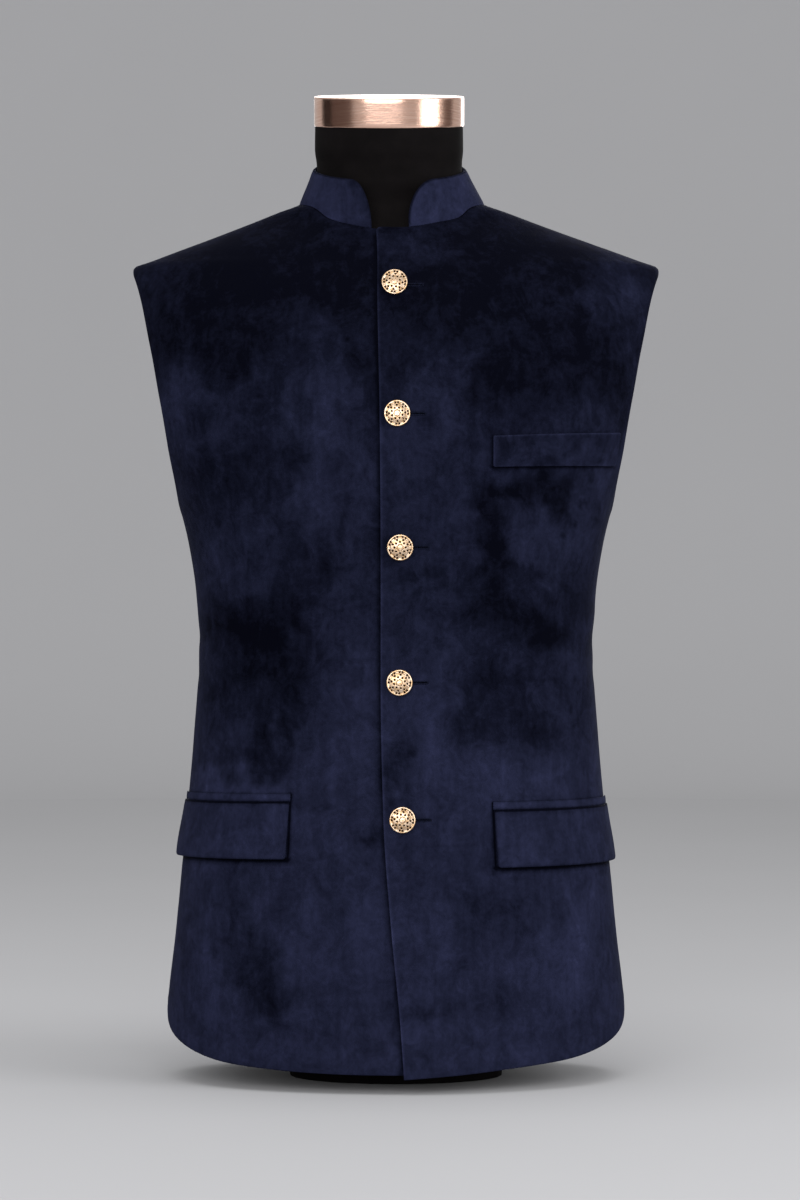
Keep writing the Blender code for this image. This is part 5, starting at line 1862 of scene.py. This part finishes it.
@dataclass
class ButtonholeStitches:
    """Close purl stitches round a buttonhole, with a bar across its end."""

    number: int
    hole: Buttonhole
    pitch: float = 0.00056
    reach: float = 0.0012
    thread: float = 0.00021
    sides: int = 5
    bar_stitches: int = 4
    head_radius: float = 0.0105
    pressed: float = 0.0004
    press_over: float = 0.001
    eye_gap: float = math.radians(30)
    crowned: Pairs = ((0.0, -0.0002), (0.06, 0.00028), (0.5, 0.00042), (0.94, 0.00022), (1.0, -0.0002))

    def roots(self) -> list[tuple[float, float, float, float]]:
        """The place and the outward direction of each stitch, in girth and height."""
        hole, places = self.hole, []
        start, end = hole.girth + hole.eye, hole.girth + hole.length
        for side in (-1, 1):
            places += [
                (float(u), hole.height + side * hole.half_slit, 0.0, float(side))
                for u in np.arange(start, end, self.pitch)
            ]
        for turn in np.arange(self.eye_gap, 2 * math.pi - self.eye_gap, self.pitch / hole.eye):
            across, up = math.cos(turn), math.sin(turn)
            places.append((hole.girth + hole.eye * across, hole.height + hole.eye * up, across, up))
        for row in range(self.bar_stitches):
            level = hole.height + (row - (self.bar_stitches - 1) / 2) * self.pitch
            places.append((end, level, 1.0, 0.0))
        return places

    def build(self, finish: bpy.types.Material) -> bpy.types.Object:
        """Sweeps each stitch's thread and joins them all.

        Args:
            finish: The thread.

        Returns:
            The piece.
        """
        places = np.array(self.roots())
        spines = []
        for share, rise in self.crowned:
            girth = places[:, 0] + places[:, 2] * self.reach * share
            height = places[:, 1] + places[:, 3] * self.reach * share
            lift = PATTERN.lap_lift(girth, height) + PATTERN.wall + rise
            from_shank = np.hypot(girth - self.hole.girth, height - self.hole.height)
            lift = lift - self.pressed * smooth((self.head_radius - from_shank) / self.press_over)
            for crease in LEFT_CREASES:
                lift = lift + crease.relief(girth, height)
            out = BODY.normal(girth, height, Half.FRONT.value)
            spines.append(BODY.point(girth, height, Half.FRONT.value) + out * lift[:, None])
        spines = np.stack(spines, axis=1)
        along = spines[:, -1] - spines[:, 0]
        across = np.cross(along, out)
        across *= (self.thread / np.linalg.norm(across, axis=1))[:, None]
        up = out * self.thread
        turns = once_round(self.sides)
        rings = (
            spines[:, :, None]
            + across[:, None, None] * np.cos(turns)[:, None]
            + up[:, None, None] * np.sin(turns)[:, None]
        )
        count, rows = len(self.crowned), len(places)
        points, faces = rings.reshape(-1, 3), []
        for stitch in range(rows):
            base = stitch * count * self.sides
            faces += bands(count, self.sides, base, falling=True)
            faces.append(tuple(base + i for i in range(self.sides)))
            last = base + (count - 1) * self.sides
            faces.append(tuple(last + i for i in reversed(range(self.sides))))
        made = add_mesh(f"buttonhole_stitches_{self.number}", points, faces, finish)
        dress(made, Slot.VELVET)
        return made


@dataclass
class Button:
    """A domed button with a pierced lattice: eight trefoils round a ring of dots and a star."""

    number: int
    hole: Buttonhole
    turn: float
    radius: float = 0.0106
    clear: float = 0.0004
    rings: int = 58
    sectors: int = 176
    lattice_radius: float = 0.0093
    # The lattice's ground is sunk a little and given a little painted shade.
    ground: float = 0.12
    trefoil_ring: float = 0.0079
    trefoil_reach: float = 0.00138
    petal: float = 0.00084
    dot_ring: float = 0.0045
    dot: float = 0.00082
    star: float = 0.0024
    star_groove: float = 0.00034
    piercing: float = 0.00055
    soften: float = 0.00012
    shank_radius: float = 0.0013
    shank_clear: float = 0.0003
    lean_share: float = 0.42
    flowers: int = 8
    petals: int = 3
    petal_point: float = 0.20
    star_point: float = 0.14
    ground_ease: float = 0.0004
    face: Pairs = (
        (0.0, 0.00390),
        (0.0043, 0.00355),
        (0.0072, 0.00285),
        (0.0086, 0.00238),
        (0.0093, 0.00275),
        (0.0100, 0.00272),
    )
    rim_height: float = 0.00195
    back: Pairs = ((0.0104, 0.0012), (0.0095, 0.0006), (0.0060, 0.0000))
    shank_top: float = -0.0004

    def crown(self) -> Curve:
        """The height of the face over its radius."""
        return Curve(*zip(*self.face, (self.radius, self.rim_height)))

    def recess(self, x: Values, y: Values) -> Values:
        """How deep the piercing is at places on the face, from 0 to 1, which also sets its painted shade.
        """
        reach, turns = np.hypot(x, y), np.arctan2(y, x)
        deepest = self.ground * smooth((reach - self.star) / self.ground_ease)
        deepest *= smooth((self.lattice_radius - reach) / self.ground_ease)

        def pierce(distance: Values) -> None:
            """Cuts where the distance past an outline is below 0."""
            np.maximum(deepest, smooth(0.5 - distance / self.soften), out=deepest)

        for k in range(self.flowers):
            turn = k * 2 * math.pi / self.flowers + math.radians(self.turn)
            centre = self.trefoil_ring * math.cos(turn), self.trefoil_ring * math.sin(turn)
            for petal in range(self.petals):
                lean = turn + (1 + petal * 2 / self.petals) * math.pi
                right = x - centre[0] - self.trefoil_reach * math.cos(lean)
                up = y - centre[1] - self.trefoil_reach * math.sin(lean)
                sway = np.arctan2(up, right) - lean
                pierce(np.hypot(right, up) - self.petal * (1 + self.petal_point * np.cos(3 * sway)))
            ring_turn = turn + math.pi / self.flowers
            right = x - self.dot_ring * math.cos(ring_turn)
            up = y - self.dot_ring * math.sin(ring_turn)
            pierce(np.hypot(right, up) - self.dot)
        points = np.cos(self.flowers * (turns - math.radians(self.turn)))
        outline = self.star * (1 + self.star_point * points)
        pierce(np.abs(reach - outline) - self.star_groove / 2)
        return deepest

    def build(self, finish: bpy.types.Material) -> bpy.types.Object:
        """Makes the button and stands it on the front.

        Args:
            finish: The brass.

        Returns:
            The piece.
        """
        girth, height = np.array([self.hole.girth]), np.array([self.hole.height])
        place = BODY.point(girth, height, Half.FRONT.value)[0]
        out = BODY.normal(girth, height, Half.FRONT.value)[0]
        facing = out * (1.0, 1.0, self.lean_share)
        facing /= np.linalg.norm(facing)
        swing = math.acos(min(1.0, float(out @ facing)))
        lap = float(PATTERN.lap_lift(girth, height)[0]) + PATTERN.wall
        head = lap + self.clear + self.radius * math.sin(swing)
        foot = PATTERN.wall + self.shank_clear + self.shank_radius * math.sin(swing)
        turns = once_round(self.sectors)
        radii = np.linspace(0, self.radius, self.rings + 1)[1:]
        reach, angle = (grid.ravel() for grid in np.meshgrid(radii, turns, indexing="ij"))
        x, y = reach * np.cos(angle), reach * np.sin(angle)
        recess = self.recess(x, y)
        z = self.crown()(reach) - self.piercing * recess
        lower = [
            np.column_stack([r * np.cos(turns), r * np.sin(turns), np.full(self.sectors, h)])
            for r, h in (*self.back, (self.shank_radius, self.shank_top))
        ]
        right = np.cross((0.0, 0.0, 1.0), facing)
        right /= np.linalg.norm(right)
        axes = np.stack([right, np.cross(facing, right), facing])
        end = axes @ (out * (foot - head))
        lower.append(lower[-1] * (1, 1, 0) + end)
        local = np.vstack([np.column_stack([x, y, z]), *lower, (0, 0, self.face[0][1]), end])
        count = self.sectors
        levels = self.rings + len(lower)
        top, bottom = levels * count, levels * count + 1
        faces = [(top, i, (i + 1) % count) for i in range(count)]
        faces += bands(levels, count, falling=True)
        last = (levels - 1) * count
        faces += [(bottom, last + (i + 1) % count, last + i) for i in range(count)]
        points = place + out * head + local @ axes
        made = add_mesh(f"rosette_button_{self.number}", points, faces, finish)
        # Painted shade: the piercings and the sunk ground are darkened by how deep they are cut.
        dark = np.concatenate([recess, np.zeros(len(local) - len(recess))])
        keep_values(made, "recess", dark)
        dress(made, Slot.BRASS, f"button_{self.number}")
        return made


def loft(rings: list[Values]) -> tuple[Values, Faces]:
    """A closed skin through rings of the same number of points, counterclockwise from above."""
    count, last = len(rings[0]), (len(rings) - 1) * len(rings[0])
    foot, top = tuple(reversed(range(count))), tuple(range(last, last + count))
    return np.vstack(rings), [foot, *bands(len(rings), count), top]


@dataclass
class DressForm:
    """The torso and neck of the form, turned in above a recessed foot."""

    sides: int = 144
    eases: Pairs = (
        (0.20, 0.0080),
        (0.36, 0.0060),
        (0.52, 0.0030),
        (0.60, 0.0030),
        (0.66, 0.0044),
        (0.72, 0.0044),
        (0.735, -0.0002),
        (0.742, -0.0004),
        (0.758, -0.0005),
        (0.766, -0.0015),
        (0.785, -0.0008),
    )
    shoulder_ease: float = 0.0005
    neck_ease: float = 0.0022
    arm_ease: float = 0.0075
    foot_half_width: float = 0.0880
    foot_half_depth: float = 0.0600
    foot_height: float = 0.034
    turn: float = 0.050
    neck_tilt: float = math.radians(9.5)
    shoulder_from: float = 0.645
    shoulder_over: float = 0.020
    shoulder_end: float = 0.722
    shoulder_end_over: float = 0.006
    ridge_reach: float = 0.014
    tilt_from: float = 0.735
    tilt_over: float = 0.045

    def ease(self, points: Values, height: float) -> Values:
        """How far points of the form lie inside the cloth's shape at a height."""
        heights, amounts = zip(*self.eases)
        ease = np.full(len(points), np.interp(height, heights, amounts))
        from_ridge = np.abs(points[:, 1] - BODY.value("centre", height))
        on_shoulder = smooth((height - self.shoulder_from) / self.shoulder_over)
        on_shoulder = on_shoulder * smooth(1 - from_ridge / self.ridge_reach)
        below_neck = smooth((self.shoulder_end - height) / self.shoulder_end_over)
        ease -= (ease - self.shoulder_ease) * on_shoulder * below_neck
        p = PATTERN
        ahead = points[:, 1] < p.neck_centre
        reach = np.where(ahead, p.neck_centre - p.neck_front, p.neck_back - p.neck_centre)
        across = points[:, 0] + BODY.lean(height)
        share = np.hypot(across / p.neck_half_width, (points[:, 1] - p.neck_centre) / reach)
        above = height > p.armhole_widest
        tall = BODY.SHOULDER_TIP - p.armhole_widest if above else p.armhole_widest - p.armhole_bottom
        oval = np.hypot(from_ridge / p.armhole_reach, (height - p.armhole_widest) / tall)
        plate = self.arm_ease * smooth((1.1 - oval) / 0.5)
        plate = plate * (np.abs(points[:, 0]) > p.neck_half_width)
        return ease + plate + self.neck_ease * smooth((1.14 - share) / 0.12)

    def ring(self, height: float) -> Values:
        """One level ring above the turn of the lower edge."""
        rings = []
        for half in Half:
            share = np.linspace(-1.0, 1.0, self.sides // 2 + 1)[:-1]
            girth = share * BODY.side(height, half) * -half.value
            points = BODY.point(girth, height, half.value)
            inwards = self.ease(points, height)[:, None]
            rings.append(points - BODY.normal(girth, height, half.value) * inwards)
        ring = np.vstack(rings)
        lean = smooth((height - self.tilt_from) / self.tilt_over)
        ring[:, 2] += (ring[:, 1] - BODY.value("centre", height)) * math.tan(self.neck_tilt) * lean
        return ring

    def base(self, lowest: float) -> list[Values]:
        """The rings of the foot and of the turned lower edge, up to the lowest body ring."""
        rim = self.ring(lowest)
        across = self.foot_half_width / np.abs(rim[:, 0]).max()
        along = self.foot_half_depth / np.abs(rim[:, 1]).max()
        foot = rim * (across, along, 0.0)
        rings = [foot * (s, s, 1.0) + (0.0, 0.0, z) for s, z in ((0.985, 0.0), (0.997, 0.0006))]
        rings += [foot + (0.0, 0.0, z) for z in (0.0025, self.foot_height - 0.002, self.foot_height)]
        for turn in span(0, math.pi / 2, math.radians(5))[1:-1]:
            ring = foot + (rim * (1.0, 1.0, 0.0) - foot) * math.sin(turn)
            rise = self.foot_height + (lowest - self.foot_height) * (1 - math.cos(turn))
            rings.append(ring + (0.0, 0.0, rise))
        return rings

    def build(self, finish: bpy.types.Material) -> bpy.types.Object:
        """Makes the form.

        Args:
            finish: The jersey.

        Returns:
            The piece.
        """
        lowest = self.foot_height + self.turn
        heights = [*span(lowest, 0.630, 0.012)[:-1], *span(0.630, 0.740, 0.0022)]
        heights += [*span(0.740, BODY.NECK_TOP, 0.004)[1:]]
        points, faces = loft(self.base(lowest) + [self.ring(z) for z in heights])
        made = add_mesh("form_jersey_cover", points, faces, finish)
        made.data.set_sharp_from_angle(angle=math.radians(60))
        dress(made, Slot.JERSEY, "dress_form")
        return made


@dataclass
class NeckCap:
    """The metal cap on the neck, tilted forward with it."""

    height: float = 0.0245
    half_width: float = 0.0622
    half_depth: float = 0.0586
    edge: float = 0.0012
    sides: int = 160

    def profile(self) -> Line:
        """Half of its section from the underside to the middle of the top, as inset and height."""
        half, edge = self.height / 2, self.edge
        turns = np.radians((0, 30, 60, 90))
        low = [(edge * (1 - math.sin(t)), -half + edge * (1 - math.cos(t))) for t in turns]
        high = [(edge * (1 - math.cos(t)), half - edge * (1 - math.sin(t))) for t in turns]
        groove = [(0.0042, half), (0.0046, half - 0.0005), (0.0050, half - 0.0005), (0.0054, half)]
        walls = [(0.0, z) for z in np.linspace(-half + edge, half - edge, 8)[1:-1]]
        return low + walls + high + groove + [(0.020, half), (0.045, half)]

    def build(self, finish: bpy.types.Material) -> bpy.types.Object:
        """Turns the cap and stands it on the neck.

        Args:
            finish: The rose gold.

        Returns:
            The piece.
        """
        turns = once_round(self.sides)
        rings = []
        for inset, z in self.profile():
            x = (self.half_width - inset) * np.cos(turns)
            y = (self.half_depth - inset) * np.sin(turns)
            rings.append(np.column_stack([x, y, np.full(self.sides, z)]))
        points, faces = loft(rings)
        tilt = Matrix.Rotation(DressForm.neck_tilt, 3, "X")
        centre = float(BODY.value("centre", BODY.NECK_TOP))
        seat = Vector((-float(BODY.lean(BODY.NECK_TOP)), centre, BODY.NECK_TOP))
        seat += tilt @ Vector((0.0, 0.0, self.height / 2 + PATTERN.seam_gap))
        points = points @ np.array(tilt).T + np.array(seat)
        made = add_mesh("neck_cap_metal", points, faces, finish)
        made.data.set_sharp_from_angle(angle=math.radians(35))
        dress(made, Slot.ROSE_GOLD, "neck_cap")
        return made


@dataclass(frozen=True)
class Softbox:
    """A soft area light that faces the jacket."""

    name: str
    place: tuple[float, float, float]
    width: float
    height: float
    power: float
    spares_floor: bool = False
    aim: tuple[float, float, float] = (0.0, 0.0, 0.42)

    def hang(self, pieces: bpy.types.Collection) -> None:
        """Adds the light, which leaves the floor out if it is one that only the pieces receive."""
        light = bpy.data.lights.new(self.name, "AREA")
        light.shape = "RECTANGLE"
        light.size, light.size_y = self.width, self.height
        light.energy = self.power
        made = bpy.data.objects.new(self.name, light)
        made.location = self.place
        towards = Vector(self.aim) - Vector(self.place)
        made.rotation_mode = "QUATERNION"
        made.rotation_quaternion = towards.to_track_quat("-Z", "Y")
        made.visible_camera = False
        if self.spares_floor:
            made.light_linking.receiver_collection = pieces
        bpy.context.scene.collection.objects.link(made)


@dataclass(frozen=True)
class DarkCard:
    """A dark upright card that only reflections show, as it is stood beside shiny metal."""

    name: str
    start: tuple[float, float]
    end: tuple[float, float]
    shade: float
    low: float = 0.10
    high: float = 1.30

    def stand(self) -> None:
        """Adds the card."""
        finish = PaintedBoard(self.name, (self.shade, self.shade * 0.8, self.shade * 0.75)).material()
        points = [(*place, z) for place in (self.start, self.end) for z in (self.low, self.high)]
        made = add_mesh(self.name, np.array(points), [(0, 2, 3, 1)], finish)
        made.visible_camera = made.visible_diffuse = made.visible_shadow = False
        made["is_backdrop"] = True


@dataclass
class Studio:
    """The camera, the pale round sweep, the soft lights and the dark cards."""

    camera_place: tuple[float, float, float] = (0.0033, -3.0, 0.394)
    focal_pixels: float = 3614.5
    frame_height_pixels: float = 1200.0
    sensor: float = 36.0
    floor_radius: float = 4.2
    sweep_radius: float = 0.9
    sweep_top: float = 5.0
    sweep_sides: int = 96
    ambient: float = 0.56
    softboxes: tuple[Softbox, ...] = (
        Softbox("front_box", (-0.55, -3.7, 1.35), 3.6, 2.0, 98.0),
        Softbox("right_box", (2.25, -1.15, 0.95), 1.3, 2.0, 34.0),
        Softbox("top_box", (0.0, -0.4, 2.9), 2.4, 1.8, 26.0),
        Softbox("back_box", (0.7, 3.3, 1.5), 2.6, 1.8, 52.0, True),
    )
    cards: tuple[DarkCard, ...] = (
        DarkCard("left_card", (-1.99, 0.17), (-1.73, 1.00), 0.03),
        DarkCard("left_brown_card", (-1.62, -1.17), (-1.99, 0.17), 0.13),
        DarkCard("right_card", (2.00, -0.10), (1.88, 0.68), 0.15),
    )

    def camera(self) -> None:
        """A level camera that looks along +Y, framed as the photograph is."""
        lens = bpy.data.cameras.new("camera")
        lens.sensor_width = self.sensor
        lens.lens = self.focal_pixels / self.frame_height_pixels * self.sensor
        made = bpy.data.objects.new("camera", lens)
        made.location = self.camera_place
        made.rotation_euler = (math.pi / 2, 0.0, 0.0)
        bpy.context.scene.collection.objects.link(made)
        bpy.context.scene.camera = made

    def turned(self, name: str, profile: Line, finish: bpy.types.Material) -> bpy.types.Object:
        """A skin turned round the jacket from radii and heights."""
        turns = once_round(self.sweep_sides)
        rings = [(r * math.cos(t), r * math.sin(t), z) for r, z in profile for t in turns]
        made = add_mesh(name, np.array(rings), bands(len(profile), self.sweep_sides), finish)
        made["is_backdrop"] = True
        return made

    def sweep(self) -> None:
        """A round floor that curves up into a backdrop on every side, which only the camera sees."""
        finish = PaintedBoard().material()
        self.turned("floor", [(self.floor_radius, 0.0), (1.5, 0.0), (0.001, 0.0)], finish)
        profile = []
        for turn in span(0, math.pi / 2, math.radians(6)):
            run = self.sweep_radius * math.sin(turn)
            profile.append((self.floor_radius + run, self.sweep_radius * (1 - math.cos(turn))))
        profile.append((self.floor_radius + self.sweep_radius, self.sweep_top))
        wall = self.turned("backdrop", profile, finish)
        wall.visible_diffuse = wall.visible_glossy = wall.visible_shadow = False

    def light(self) -> bpy.types.Collection:
        """Soft boxes in an even grey room. Returns the collection of what the back one lights."""
        world = bpy.data.worlds.new("studio")
        world.use_nodes = True
        sky = world.node_tree.nodes["Background"]
        sky.inputs["Color"].default_value = (1.0, 1.0, 1.0, 1.0)
        sky.inputs["Strength"].default_value = self.ambient
        bpy.context.scene.world = world
        pieces = bpy.data.collections.new("lit_from_behind")
        for box in self.softboxes:
            box.hang(pieces)
        for card in self.cards:
            card.stand()
        return pieces

    def build(self) -> bpy.types.Collection:
        """Sets up the studio. Returns the collection of what the back box lights."""
        bpy.context.scene.view_settings.view_transform = "Standard"
        self.camera()
        self.sweep()
        return self.light()


def main() -> None:
    """Builds the studio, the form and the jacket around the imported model."""
    logging.basicConfig(level=logging.INFO, format="%(name)s %(message)s")
    for old in list(bpy.data.objects):
        bpy.data.objects.remove(old)
    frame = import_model()
    LOG.info("the frame has %d solids", len(frame["nodes"]))
    lit = Studio().build()
    finishes = Finishes.mixed()
    DressForm().build(finishes.jersey)
    NeckCap().build(finishes.rose_gold)
    for panel in (LeftFront(), RightFront(), BackPanel(), Collar(), ChestWelt()):
        panel.build(finishes.velvet)
    for pocket in HIP_POCKETS:
        front = f"{pocket.side}_front_velvet"
        for piece, part in ((Flap, "flap"), (Jet, "jet")):
            name = f"hip_{part}_{pocket.side}"
            piece(f"{name}_velvet", name, pocket=pocket, rests_on=(front,)).build(finishes.velvet)
    for number, (place, hole) in enumerate(zip(BUTTONS, Buttonhole.all()), start=1):
        Button(number, hole, place.turn).build(finishes.brass)
        ButtonholeStitches(number, hole).build(finishes.thread)
    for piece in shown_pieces():
        lit.objects.link(piece)


if __name__ == "__main__":
    main()
